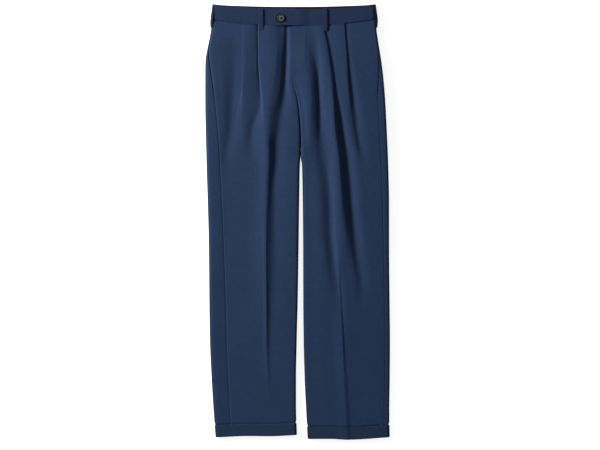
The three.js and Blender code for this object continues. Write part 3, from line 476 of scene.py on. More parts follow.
def top_height(ring, x):
    """Height of the cloth's middle over the top of the ring, without the pleats' layers: the loft,
    less towards both edges, plus a bell curve for each soft fold and the step over the fly."""
    t = (x - ring.front_centre) / (ring.outer_centre - ring.front_centre)
    edge_share = lerp(ring.lay["inner"], ring.lay["outer"], ease(t))
    crown = ease(t / ring.lay["inner_crown"]) * ease((1 - t) / ring.lay["outer_crown"])
    window = ease(t / FOLDS_FADE[0]) * ease((1 - t) / FOLDS_FADE[1])
    at = lengthwise(ring.half, ring.y, x, False)
    folds = 0.0
    for fold in ring.half.folds:
        off = x - fold.at("x", at)
        spread = np.where(off < 0, fold.at("before", at), fold.at("after", at))
        folds = folds + fold.at("height", at) * bell(off, spread)
    fly = 0.0
    if ring.half.side > 0:
        past, slope = FLY_SLOPE
        width = ease((CENTRE_FRONT.at("x", WAIST_Y) + FLY_WIDTH + past - x) / slope)
        fly = LAYER_PITCH * fly_share(ring.y) * width
    return ring.loft * lerp(edge_share, 1.0, crown) + folds * window + fly - CLOTH / 2


def squared_turn(angle):
    """Across and up, as shares of a fold's half sizes, at an angle from its top."""
    power = 2 / FOLD_SQUARENESS
    high = np.cos(angle)
    return np.abs(np.sin(angle)) ** power, np.sign(high) * np.abs(high) ** power


def outer_curve(ring, distance):
    """Points round a ring's outer fold, by their distance along the cloth from the fold's extreme:
    above 0 over the top, where the height is top_height, and below 0 underneath. The fold is half
    a superellipse between the top's height and the floor's: sin and cos to the power 2 / n."""
    side = ring.half.side
    flat_x = ring.outer_centre - side * (distance - QUARTER)
    crest = top_height(ring, ring.outer_centre)
    angle = (np.pi / 2) * (1 - np.clip(distance, -QUARTER, QUARTER) / QUARTER)
    wide, high = squared_turn(angle)
    bent_x = ring.outer_centre + side * (EDGE_RADIUS * wide + np.minimum(distance + QUARTER, 0))
    bent_z = (crest + ring.floor) / 2 + (crest - ring.floor) / 2 * high
    on_top = distance >= QUARTER
    x = np.where(on_top, flat_x, bent_x)
    z = np.where(on_top, top_height(ring, flat_x), bent_z)
    return x, z, ~on_top & (angle > np.pi / 2)


def seam_distance(ring):
    inset = ring.half.sections.at("seam", ring.y)
    level = np.clip(1 - inset / EDGE_RADIUS, 0, 1) ** (FOLD_SQUARENESS / 2)
    bent = QUARTER * (1 - np.arcsin(level) / (np.pi / 2))
    return np.where(inset >= EDGE_RADIUS, QUARTER + inset - EDGE_RADIUS, bent)


def pleat_controls(ring, table, begin, ramp=24):
    """The points that pull a pleat's turns, as x and height above the panel, one array each. A
    closed pleat lies in three layers, to which the panel climbs over the length of the ramp or
    from the x where it may begin, and an open one is a slope."""
    side = ring.half.side
    at = lengthwise(ring.half, ring.y, table.at("x", ring.y), False)
    x, depth, step = (table.at(name, at) for name in ("x", "depth", "step"))
    over = np.maximum(depth, 0.0)
    room = np.abs(x - begin)
    shut = depth > 0
    lip = np.where(shut, np.minimum(1.2, 0.3 * over), 0.3 * depth)
    low = np.where(shut, lip - depth, -1.2 * depth)
    after = np.where(shut, 1.8, 1.8 - 1.4 * depth)
    climb = np.minimum(ramp, room - over - 0.5)
    turns = [
        (-(over + climb), 0), (-(over + 0.1 * climb), 2), (-1.2 + 0 * x, 2), (0 * x, 1.5),
        (-lip, 1), (lip - depth, 1), (-depth, 0.5), (low, 0), (after, 0),
    ]
    return [(x + side * out, layers * step) for out, layers in turns]


def pulled(controls, counts):
    """A line through the midpoints between control points, bent towards each of them: a quadratic
    B-spline. counts gives the number of steps near each inner control point."""
    x = np.stack([c[0] for c in controls])
    h = np.stack([c[1] + 0 * c[0] for c in controls])
    both = np.stack([x, h])
    pieces = []
    for i, count in enumerate(counts, start=1):
        t = np.arange(count) / count
        before, here, after = both[:, i - 1], both[:, i], both[:, i + 1]
        nearer = 0.5 * (1 - t) ** 2 * before + (0.5 + t * (1 - t)) * here
        pieces.append(nearer + 0.5 * t * t * after)
    pieces.append((both[:, -2] + both[:, -1]) / 2)
    joined = np.concatenate(pieces, axis=-1)
    return joined[0], joined[1]


INNER_COLUMNS = 30
PLEAT_STEPS = [3, 7, 7, 4, 2, 2, 3, 2, 3]
BETWEEN_STEPS = [3, 3, 3]
OUTER_COLUMNS = 13
SEAM_COLUMNS = 7


def front_grid(half, y):
    """A front's share of the rings: from its inner edge, which rolls down into the crotch seam or
    the inseam, over both pleats to the side seam. Gives x, z and which points lie underneath."""
    ring = ring_at(half, y)
    side = half.side
    lap = FLY_LAP * ease((ring.y - FLY_END_Y - 14) / 20) if side < 0 else 0 * ring.y
    half_gap = np.where(ring.y <= CROTCH_Y, BENT_SEAM_GAP / 2 / ring.radius, 0.0)
    start = -(ring.radius * np.maximum(0.0, ring.roll - half_gap) + lap)
    crease = pleat_controls(ring, half.crease, ring.front_centre)
    pleat = pleat_controls(ring, half.pleat, crease[8][0])

    reach = np.abs(crease[0][0] - ring.front_centre) - 2
    place = start + np.linspace(0, 1, INNER_COLUMNS) ** 1.35 * (reach - start)
    rolled = (place < 0) & (lap <= 0)
    angle = np.where(rolled, -place / ring.radius, 0.0)
    flat_x = ring.front_centre + side * np.where(rolled, 0.0, place)
    crest = top_height(ring, ring.front_centre)
    wide, high = squared_turn(angle)
    drop = (crest - ring.floor) / 2 * (1 - high)
    inner_x = flat_x - side * ring.radius * wide
    inner_z = np.where(rolled, crest, top_height(ring, flat_x)) - drop

    controls = [(crease[0][0] - side * 4, 0.0), *crease]
    controls += [(lerp(crease[8][0], pleat[0][0], t), 0.0) for t in (0.25, 0.5, 0.75)]
    controls += [*pleat, (pleat[8][0] + side * 4, 0.0)]
    steps = [*PLEAT_STEPS, *BETWEEN_STEPS, *PLEAT_STEPS]
    pleated_x, layers = pulled(controls, steps)
    pleated_z = top_height(ring, pleated_x) + layers

    begin = QUARTER + side * (ring.outer_centre - pleated_x[:, -1:])
    end = seam_distance(ring) + pocket_gape(ring.y) / 2
    bend = np.maximum(QUARTER, end + 2)
    flat_part = lerp(begin, bend, np.linspace(0, 1, OUTER_COLUMNS)[1:])
    bent_part = lerp(bend, end, np.linspace(0, 1, SEAM_COLUMNS)[1:])
    outer_x, outer_z, outer_back = outer_curve(ring, np.concatenate([flat_part, bent_part], axis=1))

    x = np.concatenate([inner_x[:, :-1], pleated_x, outer_x], axis=1)
    z = np.concatenate([inner_z[:, :-1], pleated_z, outer_z], axis=1)
    back = np.zeros(x.shape, bool)
    back[:, -outer_back.shape[1]:] = outer_back
    return x, z, back


CREASE_COLUMN = INNER_COLUMNS - 1 + sum(PLEAT_STEPS[:3]) + 1


def back_grid(half, y, columns=30):
    """A back's share of the rings: from the side seam round the outer fold, flat underneath, and up
    round the inner fold to the inseam or into the seat seam."""
    ring = ring_at(half, y)
    side = half.side
    begin = seam_distance(ring) - pocket_gape(ring.y) / 2
    bend = np.minimum(QUARTER, begin - 0.5)
    top = lerp(begin, bend, np.linspace(0, 1, 14))
    fold = lerp(bend, -QUARTER, np.linspace(0, 1, 20)[1:])
    x, z, back = outer_curve(ring, np.concatenate([top, fold], axis=1))

    half_gap = np.where(ring.y <= CROTCH_Y, BENT_SEAM_GAP / 2 / ring.radius, 0.0)
    turn = np.maximum(0.0, ring.back_roll - half_gap)
    flat = np.abs(ring.outer_centre - ring.back_centre)
    crest = top_height(ring, ring.front_centre)
    shares = 1 - (1 - np.linspace(0, 1, columns)[1:]) ** 1.6
    run = shares * (flat + ring.radius * turn)
    angle = np.maximum(0.0, run - flat) / ring.radius
    under_x = ring.outer_centre - side * np.minimum(run, flat)
    wide, high = squared_turn(angle)
    under_x = np.where(angle > 0, ring.back_centre - side * ring.radius * wide, under_x)
    under_z = (crest + ring.floor) / 2 - (crest - ring.floor) / 2 * high
    under_z = np.where(angle > 0, under_z, ring.floor)
    x = np.concatenate([x, under_x], axis=1)
    z = np.concatenate([z, under_z], axis=1)
    back = np.concatenate([back, np.ones(under_x.shape, bool)], axis=1)
    return x, z, back


def placed(half, y, x, z, back):
    """The points of a grid in space, in millimetres."""
    y = np.asarray(y, float).reshape(-1, 1)
    return np.stack([x, lengthwise(half, y, x, back), z], axis=-1)


def outward(points, side, closed=False):
    """Unit normals of a grid: the cross product of its two directions, out of the garment."""
    if closed:
        wrapped = np.concatenate([points[:, -1:], points, points[:, :1]], axis=1)
        across = (wrapped[:, 2:] - wrapped[:, :-2]) / 2
    else:
        across = np.gradient(points, axis=1)
    along = np.gradient(points, axis=0)
    normal = -side * np.cross(across, along)
    size = np.linalg.norm(normal, axis=-1, keepdims=True)
    return normal / np.maximum(size, 1e-9)


def run_lengths(points, axis):
    """Distance from the grid's first line of points, along the cloth."""
    steps = np.linalg.norm(np.diff(points, axis=axis), axis=-1)
    total = np.cumsum(steps, axis=axis)
    pad = [(0, 0), (0, 0)]
    pad[axis] = (1, 0)
    return np.pad(total, pad)


def rounded(distance, radius, least=0.35):
    """Share of a wall's thickness near a cut edge, so that the edge is round."""
    t = np.clip(distance / radius, 0.0, 1.0)
    return least + (1 - least) * np.sqrt(1 - (1 - t) ** 2)


# ---- Meshes --------------------------------------------------------------------------------
def pairs(a, b):
    return np.stack([a, b], axis=-1)


def grid_faces(rows, columns, start, flip, wrap_columns=False, wrap_rows=False):
    """Quads between neighbouring points of a grid, as an array of four indices each."""
    i = np.arange(rows if wrap_rows else rows - 1)[:, None]
    j = np.arange(columns if wrap_columns else columns - 1)[None, :]
    i2, j2 = (i + 1) % rows, (j + 1) % columns
    corners = [i * columns + j, i * columns + j2, i2 * columns + j2, i2 * columns + j]
    quads = np.stack(corners, axis=-1).reshape(-1, 4) + start
    return quads[:, ::-1] if flip else quads


def make_mesh(name, points, quads, uv, material, shade=1.0, smooth_angle=40.0):
    """A mesh object from points in millimetres, quads, one pair of UVs, in metres, a point and the
    painted shade of the cloth there. The faces are turned so that the volume inside is above
    nothing."""
    a, b, c, d = (points[quads[:, k]] for k in range(4))
    volume = (a * np.cross(b, c)).sum() + (a * np.cross(c, d)).sum()
    if volume < 0:
        quads = quads[:, ::-1]
    mesh = bpy.data.meshes.new(name)
    mesh.vertices.add(len(points))
    mesh.vertices.foreach_set("co", (points * MM).astype(np.float32).ravel())
    mesh.loops.add(quads.size)
    mesh.loops.foreach_set("vertex_index", quads.astype(np.int32).ravel())
    mesh.polygons.add(len(quads))
    mesh.polygons.foreach_set("loop_start", np.arange(0, quads.size, 4, dtype=np.int32))
    mesh.polygons.foreach_set("use_smooth", np.ones(len(quads), bool))
    mesh.update(calc_edges=True)
    mesh.validate()
    layer = mesh.uv_layers.new(name="cloth")
    layer.data.foreach_set("uv", uv[quads.ravel()].astype(np.float32).ravel())
    bright = np.broadcast_to(np.asarray(shade, np.float32).ravel(), len(points))
    # The "shade" attribute carries painted shade, which the woven materials multiply into the
    # colour.
    shades = mesh.attributes.new("shade", "FLOAT", "POINT")
    shades.data.foreach_set("value", np.ascontiguousarray(bright))
    mesh.set_sharp_from_angle(angle=math.radians(smooth_angle))
    mesh.materials.append(material)
    piece = bpy.data.objects.new(name, mesh)
    bpy.context.scene.collection.objects.link(piece)
    return piece


def shell(name, points, side, thickness, material, uv, sink=0.0, shade=None):
    """A closed wall about a grid of points: its two faces lie half the thickness to each side of
    the points, after these are moved inwards by sink, and four rims join them."""
    normal = outward(points, side)
    middle = points - normal * np.asarray(sink)[..., None]
    half_wall = normal * np.asarray(thickness)[..., None] / 2
    rows, columns = points.shape[:2]
    count = rows * columns
    faces_out_and_in = [middle + half_wall, middle - half_wall]
    both = np.concatenate([face.reshape(-1, 3) for face in faces_out_and_in])
    faces = [
        grid_faces(rows, columns, 0, False),
        grid_faces(rows, columns, count, True),
    ]
    index = np.arange(count).reshape(rows, columns)
    border = np.concatenate([index[0, :], index[1:, -1], index[-1, -2::-1], index[-2::-1, 0]])
    a, b = border[:-1], border[1:]
    faces.append(np.stack([b, a, a + count, b + count], axis=-1))
    flat_uv = np.concatenate([uv.reshape(-1, 2)] * 2)
    bright = 1.0 if shade is None else np.concatenate([shade.ravel()] * 2)
    return make_mesh(name, both, np.concatenate(faces), flat_uv, material, bright)


def torus_wall(name, points, material, uv, shade):
    """A closed wall from a grid that wraps round both ways: a profile carried round a ring."""
    rows, columns = points.shape[:2]
    quads = grid_faces(rows, columns, 0, False, wrap_columns=True, wrap_rows=True)
    return make_mesh(name, points.reshape(-1, 3), quads, uv.reshape(-1, 2), material, shade)


def rim(x, extreme):
    """Where painted shade goes: one on the shoulder of a fold, a little inside its extreme, and
    nothing away from it.
    """
    return bell(np.abs(x - extreme) - RIM_INSET, RIM_WIDTH)


def rim_shade(half, y, x, z):
    """Painted shade near a leg's outline: how bright the cloth is painted, less on the upper
    shoulders of both folds, and of the inner one only below the crotch."""
    ring = ring_at(half, y)
    outer = ring.outer_centre + half.side * EDGE_RADIUS
    inner = ring.front_centre - half.side * ring.radius
    legs = ease((CROTCH_Y - ring.y) / 10)
    upper = ease((z - 0.35 * ring.loft) / (0.25 * ring.loft))
    return 1 - RIM_SHADE * upper * np.minimum(rim(x, outer) + legs * rim(x, inner), 1.0)


def cut_area(points):
    """Area of a grid of points in square metres."""
    a = points[1:, 1:] - points[:-1, :-1]
    b = points[1:, :-1] - points[:-1, 1:]
    return float(np.linalg.norm(np.cross(a, b), axis=-1).sum() / 2 * MM * MM)


def finish_cloth(piece, points, node):
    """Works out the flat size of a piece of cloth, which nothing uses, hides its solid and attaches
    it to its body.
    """
    across = float(run_lengths(points, 1)[:, -1].max() * MM)
    along = float(run_lengths(points, 0)[-1, :].max() * MM)
    area = cut_area(points)
    across = max(across, area / along)
    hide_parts(node)
    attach(piece, "root")
    return piece


# ---- Waistband -----------------------------------------------------------------------------
def band_y(x, share, waist_dip, top_dip):
    """y at a share of the band's height, whose two edges sag by these dips in the middle."""
    return lerp(WAIST_Y - waist_dip * sag(x) + SEAM_GAP, BAND_TOP_Y - top_dip * sag(x), share)


def band_front_y(x, share):
    return band_y(x, share, FRONT_WAIST_DIP, FRONT_TOP_DIP)


def band_back_y(x, share):
    return band_y(x, share, BACK_WAIST_DIP, BACK_TOP_DIP)


BAND_BACK_Z = BACK_LIFT + BAND_CLOTH / 2


def band_front_z(x):
    """Height of the middle of the band's front, without the tab's rise."""
    x = np.asarray(x, float)
    heights = []
    for half in (RIGHT, LEFT):
        ring = ring_at(half, WAIST_Y)
        centre, outer = float(ring.front_centre[0, 0]), float(ring.outer_centre[0, 0])
        t = (x - centre) / (outer - centre)
        edge_share = lerp(CENTRE_SHARE, EDGE_SHARE, ease(t))
        crown = ease(t / INNER_CROWN) * ease((1 - t) / OUTER_CROWN)
        heights.append(float(ring.loft[0, 0]) * lerp(edge_share, 1.0, crown) + 1)
    return np.where(x < CENTRE_FRONT.at("x", WAIST_Y), heights[0], heights[1])


def tab_rise(x):
    return (BAND_CLOTH + TAB_CLEARANCE) * (1 - between(x, *TAB_RAMP_X))


def band_grid(half, shares, front_end):
    """A half of the waistband: from its front end over the front, round the side fold and along
    the back to the seat seam, at each share of the band's height."""
    side = half.side
    share = np.asarray(shares, float).reshape(-1, 1)
    edge = half.sections.at("edge", WAIST_Y) - side * 2 * share
    centre = edge - side * (BAND_CLOTH / 2 + EDGE_RADIUS)
    t = np.concatenate([np.linspace(0, 0.24, 64), np.linspace(0.24, 1, 60)[1:]])[None, :]
    front_x = lerp(np.asarray(front_end, float).reshape(-1, 1), centre, t)
    rise = tab_rise(front_x) if side > 0 else 0.0
    front_z = band_front_z(front_x) + rise
    drop = TAB_TOP_DROP if side > 0 else BAND_TOP_DROP
    front_y = band_front_y(front_x, share) - drop * share * ease(side * (centre - front_x) / 60)
    crest = band_front_z(centre)
    angle = np.linspace(0, np.pi, 18)[None, 1:-1]
    fold_x = centre + side * EDGE_RADIUS * np.sin(angle)
    fold_z = (crest + BAND_BACK_Z) / 2 + (crest - BAND_BACK_Z) / 2 * np.cos(angle)
    fold_y = lerp(band_front_y(fold_x, share), band_back_y(fold_x, share), ease(angle / np.pi))
    back_end = CENTRE_BACK.at("x", WAIST_Y) + side * SEAM_GAP / 2
    back_x = lerp(centre, back_end, np.linspace(0, 1, 40)[None, :])
    back_y = band_back_y(back_x, share)
    back_z = BAND_BACK_Z + 0 * back_x
    x = np.concatenate([front_x, fold_x, back_x], axis=1)
    y = np.concatenate([front_y, fold_y, back_y], axis=1)
    z = np.concatenate([front_z, fold_z, back_z], axis=1)
    return np.stack([x, y, z], axis=-1)


def tab_end(share):
    """x of the tab's pointed end: straight from both corners to the point."""
    off = np.where(share < TAB_TIP_SHARE, share / TAB_TIP_SHARE, (1 - share) / (1 - TAB_TIP_SHARE))
    return lerp(TAB_SHOULDER_X, TAB_TIP_X, off)


# ---- Node groups ---------------------------------------------------------------------------
def group_socket(group, name, kind, direction, default=None):
    socket = group.interface.new_socket(name=name, in_out=direction, socket_type=kind)
    if default is not None:
        socket.default_value = default
    return socket


def math_node(nodes, links, operation, a, b=None):
    node = nodes.new("ShaderNodeMath")
    node.operation = operation
    for slot, value in enumerate((a, b)):
        if value is None:
            continue
        if isinstance(value, (int, float)):
            node.inputs[slot].default_value = value
        else:
            links.new(value, node.inputs[slot])
    return node.outputs[0]


def noise_node(nodes, links, vector, **inputs):
    node = nodes.new("ShaderNodeTexNoise")
    for name, value in inputs.items():
        node.inputs[name].default_value = value
    links.new(vector, node.inputs["Vector"])
    return node.outputs["Fac"]


def twill_group():
    """A shader node group for woven twill. Fine diagonal ribs, crossed by the yarns' own beads,
    give Height, and slow mottling gives Shade, which runs about 1."""
    group = bpy.data.node_groups.get("Twill") or bpy.data.node_groups.new("Twill", "ShaderNodeTree")
    if group.nodes:
        return group
    group_socket(group, "Cloth", "NodeSocketVector", "INPUT")
    group_socket(group, "Ribs a metre", "NodeSocketFloat", "INPUT", 900.0)
    group_socket(group, "Mottling", "NodeSocketFloat", "INPUT", 0.1)
    group_socket(group, "Height", "NodeSocketFloat", "OUTPUT")
    group_socket(group, "Shade", "NodeSocketFloat", "OUTPUT")
    nodes, links = group.nodes, group.links
    entry, leave = nodes.new("NodeGroupInput"), nodes.new("NodeGroupOutput")
    split = nodes.new("ShaderNodeSeparateXYZ")
    links.new(entry.outputs["Cloth"], split.inputs[0])

    def made(operation, a, b=None):
        return math_node(nodes, links, operation, a, b)

    turns = made("MULTIPLY", entry.outputs["Ribs a metre"], 2 * math.pi)
    diagonal = made("ADD", split.outputs["X"], split.outputs["Y"])
    rib = made("SINE", made("MULTIPLY", diagonal, turns))
    yarn = made("SINE", made("MULTIPLY", split.outputs["Y"], turns))
    links.new(made("ADD", rib, made("MULTIPLY", yarn, 0.35)), leave.inputs["Height"])
    cloth = entry.outputs["Cloth"]
    slow = noise_node(nodes, links, cloth, Scale=90.0, Detail=5.0, Roughness=0.68)
    broad = noise_node(nodes, links, cloth, Scale=9.0, Detail=1.0)
    # Noise runs about 0.5, so the sum of the two runs about 0.7.
    centred = made("SUBTRACT", made("ADD", slow, made("MULTIPLY", broad, 0.4)), 0.7)
    mottle = made("MULTIPLY", centred, entry.outputs["Mottling"])
    shade = made("ADD", made("ADD", mottle, made("MULTIPLY", rib, 0.04)), 1.0)
    links.new(shade, leave.inputs["Shade"])
    return group


def scaled_colour(nodes, links, colour, factor):
    """The colour times a factor that changes over the surface."""
    node = nodes.new("ShaderNodeVectorMath")
    node.operation = "SCALE"
    node.inputs[0].default_value = colour[:3]
    links.new(factor, node.inputs["Scale"])
    return node.outputs[0]


# ---- Materials -----------------------------------------------------------------------------
def blank_material(name):
    material = bpy.data.materials.new(name)
    material.use_nodes = True
    nodes = material.node_tree.nodes
    return material, nodes, material.node_tree.links, nodes["Principled BSDF"]


def woven_material(name, colour, ribs, mottling, bump, rough, sheen, sheen_tint):
    """Woven cloth: the twill group and the mesh's painted shade darken the colour, the group raises
    the ribs, and sheen gives the nap."""
    material, nodes, links, shader = blank_material(name)
    uv = nodes.new("ShaderNodeUVMap")
    uv.uv_map = "cloth"
    twill = nodes.new("ShaderNodeGroup")
    twill.node_tree = twill_group()
    twill.inputs["Ribs a metre"].default_value = ribs
    twill.inputs["Mottling"].default_value = mottling
    links.new(uv.outputs["UV"], twill.inputs["Cloth"])
    # The mesh's "shade" attribute is painted shade: fold shoulders, under the band and tab, round
    # the button, side loops.
    painted_shade = nodes.new("ShaderNodeAttribute")
    painted_shade.attribute_name = "shade"
    shade = math_node(nodes, links, "MULTIPLY", twill.outputs["Shade"], painted_shade.outputs["Fac"])
    links.new(scaled_colour(nodes, links, colour, shade), shader.inputs["Base Color"])
    relief = nodes.new("ShaderNodeBump")
    relief.inputs["Strength"].default_value = bump
    relief.inputs["Distance"].default_value = 0.0002
    links.new(twill.outputs["Height"], relief.inputs["Height"])
    links.new(relief.outputs["Normal"], shader.inputs["Normal"])
    shader.inputs["Roughness"].default_value = rough
    shader.inputs["Specular IOR Level"].default_value = 0.1
    shader.inputs["Sheen Weight"].default_value = sheen
    shader.inputs["Sheen Roughness"].default_value = 0.45
    shader.inputs["Sheen Tint"].default_value = sheen_tint
    return material


def horn_material(dark, light):
    """Polished horn: two browns in slow streaks, with painted shade round the rim and in the
    middle, by the distance from the button's axis."""
    material, nodes, links, shader = blank_material("Horn")
    place = nodes.new("ShaderNodeTexCoord")
    spot = place.outputs["Object"]
    streaks = noise_node(nodes, links, spot, Scale=260.0, Detail=4.0, Distortion=1.5)
    ramp = nodes.new("ShaderNodeValToRGB")
    ramp.color_ramp.elements[0].position = 0.4
    ramp.color_ramp.elements[0].color = dark
    ramp.color_ramp.elements[1].position = 0.65
    ramp.color_ramp.elements[1].color = light
    links.new(streaks, ramp.inputs["Fac"])
    centred = nodes.new("ShaderNodeMapping")
    centred.inputs["Location"].default_value = (-BUTTON_X * MM, -BUTTON_Y * MM, 0.0)
    centred.inputs["Scale"].default_value = (1.0, 1.0, 0.0)
    links.new(spot, centred.inputs["Vector"])
    away = nodes.new("ShaderNodeVectorMath")
    away.operation = "LENGTH"
    links.new(centred.outputs["Vector"], away.inputs[0])
    # Painted shade: the colour darkens towards the button's rim and in its middle.
    rings = nodes.new("ShaderNodeValToRGB")
    stops = rings.color_ramp.elements
    stops[0].position, stops[0].color = 0.12, (0.35, 0.35, 0.35, 1.0)
    stops[1].position, stops[1].color = 0.4, (1.0, 1.0, 1.0, 1.0)
    for position, level in ((0.68, 1.0), (0.8, 0.1)):
        stops.new(position).color = (level, level, level, 1.0)
    share = math_node(nodes, links, "DIVIDE", away.outputs["Value"], BUTTON_RADIUS * MM)
    links.new(share, rings.inputs["Fac"])
    product = nodes.new("ShaderNodeVectorMath")
    product.operation = "MULTIPLY"
    links.new(ramp.outputs["Color"], product.inputs[0])
    links.new(rings.outputs["Color"], product.inputs[1])
    links.new(product.outputs[0], shader.inputs["Base Color"])
    shader.inputs["Roughness"].default_value = 0.3
    return material


def plain_material(name, colour, rough):
    """A matt surface with faint slow mottling."""
    material, nodes, links, shader = blank_material(name)
    place = nodes.new("ShaderNodeTexCoord")
    slow = noise_node(nodes, links, place.outputs["Object"], Scale=3.0)
    level = math_node(nodes, links, "MULTIPLY", slow, 0.01)
    shade = math_node(nodes, links, "ADD", level, 0.995)
    links.new(scaled_colour(nodes, links, colour, shade), shader.inputs["Base Color"])
    shader.inputs["Roughness"].default_value = rough
    return material


def lit_floor_material(colour, glow):
    """A matt white table that is lit from within."""
    material = plain_material("Floor", colour, 0.9)
    shader = material.node_tree.nodes["Principled BSDF"]
    shader.inputs["Emission Color"].default_value = (1.0, 1.0, 1.0, 1.0)
    shader.inputs["Emission Strength"].default_value = glow
    return material


# Darker copies of the suiting for the waistband, the belt loops and the turn-ups: painted shade.
SUITING_TINTS = {
    "Suiting": (1.0, 1.0, 1.0),
    "Band_suiting": (0.85, 0.76, 0.76),
    "Turn_up_suiting": (0.88, 0.87, 0.83),
}


def woven_once(name, *looks):
    return bpy.data.materials.get(name) or woven_material(name, *looks)


def suiting(name="Suiting"):
    """The navy twill, or a darker copy of it with painted shade for the band, loops and turn-ups.
    """
    looks = bpy.context.scene.trousers_looks
    colour = [part * tint for part, tint in zip(looks.cloth, SUITING_TINTS[name])]
    ribs, blue = looks.ribs_a_metre, (0.2, 0.4, 1.0, 1.0)
    return woven_once(name, colour, ribs, looks.mottling, 0.35, 0.78, looks.sheen, blue)


def lining():
    colour = bpy.context.scene.trousers_looks.lining
    return woven_once("Lining", colour, 1400.0, 0.2, 0.15, 0.5, 0.1, (0.5, 0.5, 0.5, 1.0))


def thread():
    colour = bpy.context.scene.trousers_looks.thread
    return woven_once("Thread", colour, 2500.0, 0.1, 0.3, 0.55, 0.2, (0.4, 0.5, 0.8, 1.0))


# ---- Stitches ------------------------------------------------------------------------------
STITCH_SIDES = 6


def stitch_row(name, path, up, length, gap, radius):
    """A row of stitches as one mesh. Each stitch is a short thread along the path, a half-sunk
    bean: its radius swells as the square root of sin from both ends and its middle arches up."""
    path = np.asarray(path, float)
    run = np.concatenate([[0.0], np.cumsum(np.linalg.norm(np.diff(path, axis=0), axis=1))])
    count = max(1, int(run[-1] // (length + gap)))
    starts = (np.arange(count) + 0.5) * run[-1] / count - length / 2
    t = np.linspace(0, 1, 6)
    where = np.clip(starts[:, None] + t[None, :] * length, 0, run[-1])

    def on_path(at):
        at = np.clip(at, 0, run[-1])
        return np.stack([np.interp(at, run, path[:, k]) for k in range(3)], axis=-1)

    centre = on_path(where)
    along = on_path(where + 0.3) - on_path(where - 0.3)
    along /= np.maximum(np.linalg.norm(along, axis=-1, keepdims=True), 1e-9)
    up = np.broadcast_to(np.asarray(up, float), along.shape)
    across = np.cross(along, up)
    across /= np.maximum(np.linalg.norm(across, axis=-1, keepdims=True), 1e-9)
    lift = np.cross(across, along)
    swell = radius * (0.25 + 0.75 * np.sqrt(np.sin(np.pi * t)))[None, :, None, None]
    arch = (radius * 0.8 * np.sin(np.pi * t))[None, :, None]
    angle = np.linspace(0, 2 * np.pi, STITCH_SIDES, endpoint=False)
    ring = np.cos(angle)[:, None] * across[:, :, None, :]
    ring = ring + np.sin(angle)[:, None] * lift[:, :, None, :]
    points = (centre + lift * arch)[:, :, None, :] + ring * swell
    rows = points.shape[1]
    block = rows * STITCH_SIDES
    side_quads = grid_faces(rows, STITCH_SIDES, 0, False, wrap_columns=True)
    cap = np.array([[0, 1, 2, 3], [0, 3, 4, 5]])
    end = cap[:, ::-1] + (rows - 1) * STITCH_SIDES
    one = np.concatenate([side_quads, cap, end])
    quads = (one[None] + np.arange(count)[:, None, None] * block).reshape(-1, 4)
    flat = points.reshape(-1, 3)
    uv = flat[:, :2] * MM
    return make_mesh(name, flat, quads, uv, thread())


def finish_sewing(piece):
    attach(piece, "root")


def front_outside(half, x, y):
    """Height of a front's outer face at points, away from its pleats."""
    x, y = np.asarray(x, float), np.asarray(y, float)
    waist = between(y, WAIST_SAG_Y, WAIST_Y)
    nominal = np.minimum(WAIST_Y, y + FRONT_WAIST_DIP * sag(x) * waist)
    ring = ring_at(half, nominal.ravel())
    z = top_height(ring, x.reshape(-1, 1)) + CLOTH / 2
    return z.reshape(x.shape)


# ---- Settings ------------------------------------------------------------------------------
def length_setting(name, description, default):
    return bpy.props.FloatProperty(
        name=name, description=description, default=default, unit="LENGTH"
    )


def colour_setting(name, description, *colour):
    return bpy.props.FloatVectorProperty(
        name=name, description=description, subtype="COLOR", size=4,
        default=(*colour, 1.0), min=0.0, max=1.0,
    )


def level_setting(name, description, default, **limits):
    return bpy.props.FloatProperty(
        name=name, description=description, default=default, min=0.0, **limits
    )


class TrousersSizes(bpy.types.PropertyGroup):
    """Sizes of the cloth and its sewing."""

    cloth_wall: length_setting("Suiting", "Thickness of a layer of suiting", 0.0010)
    band_wall: length_setting("Waistband", "Thickness of the waistband", 0.0021)
    loop_wall: length_setting("Belt loops", "Thickness of a belt loop", 0.0012)
    stitch: length_setting("Stitch", "Length of a stitch", 0.0024)
    overall: bpy.props.FloatVectorProperty(
        name="Overall",
        description="Width, length and height of the garment as it lies",
        default=tuple(float(hi - lo) for lo, hi in zip(*CAD_BOX)),
        subtype="XYZ",
        unit="LENGTH",
    )


class TrousersLooks(bpy.types.PropertyGroup):
    """Colours and light."""

    cloth: colour_setting("Suiting", "Colour of the suiting", 0.0172, 0.0356, 0.083)
    lining: colour_setting("Lining", "Colour inside the waistband", 0.016, 0.013, 0.017)
    thread: colour_setting("Thread", "Colour of the sewing thread", 0.018, 0.032, 0.07)
    horn_dark: colour_setting("Dark horn", "Darker colour of the button", 0.012, 0.013, 0.012)
    horn_light: colour_setting("Light horn", "Lighter colour of the button", 0.155, 0.165, 0.14)
    floor: colour_setting("Floor", "Colour of the floor", 0.92, 0.92, 0.925)
    ribs_a_metre: level_setting("Twill ribs", "Number of twill ribs in a metre of cloth", 900.0)
    mottling: level_setting(
        "Mottling", "How uneven the suiting's colour is", 0.45, max=1.0, subtype="FACTOR"
    )
    sheen: level_setting("Sheen", "Strength of the cloth's nap", 0.08, max=1.0, subtype="FACTOR")
    key: level_setting("Key light", "Power of the main light", 150.0, subtype="POWER")
    floor_glow: level_setting("Floor's glow", "Light that the floor gives of itself", 0.78)
    fill: level_setting("Fill light", "Strength of the light from all round", 0.23)


# ---- Operators -----------------------------------------------------------------------------
class BuildOperator:
    bl_options = {"REGISTER", "UNDO"}

    def execute(self, context):
        self.build(context)
        return {"FINISHED"}


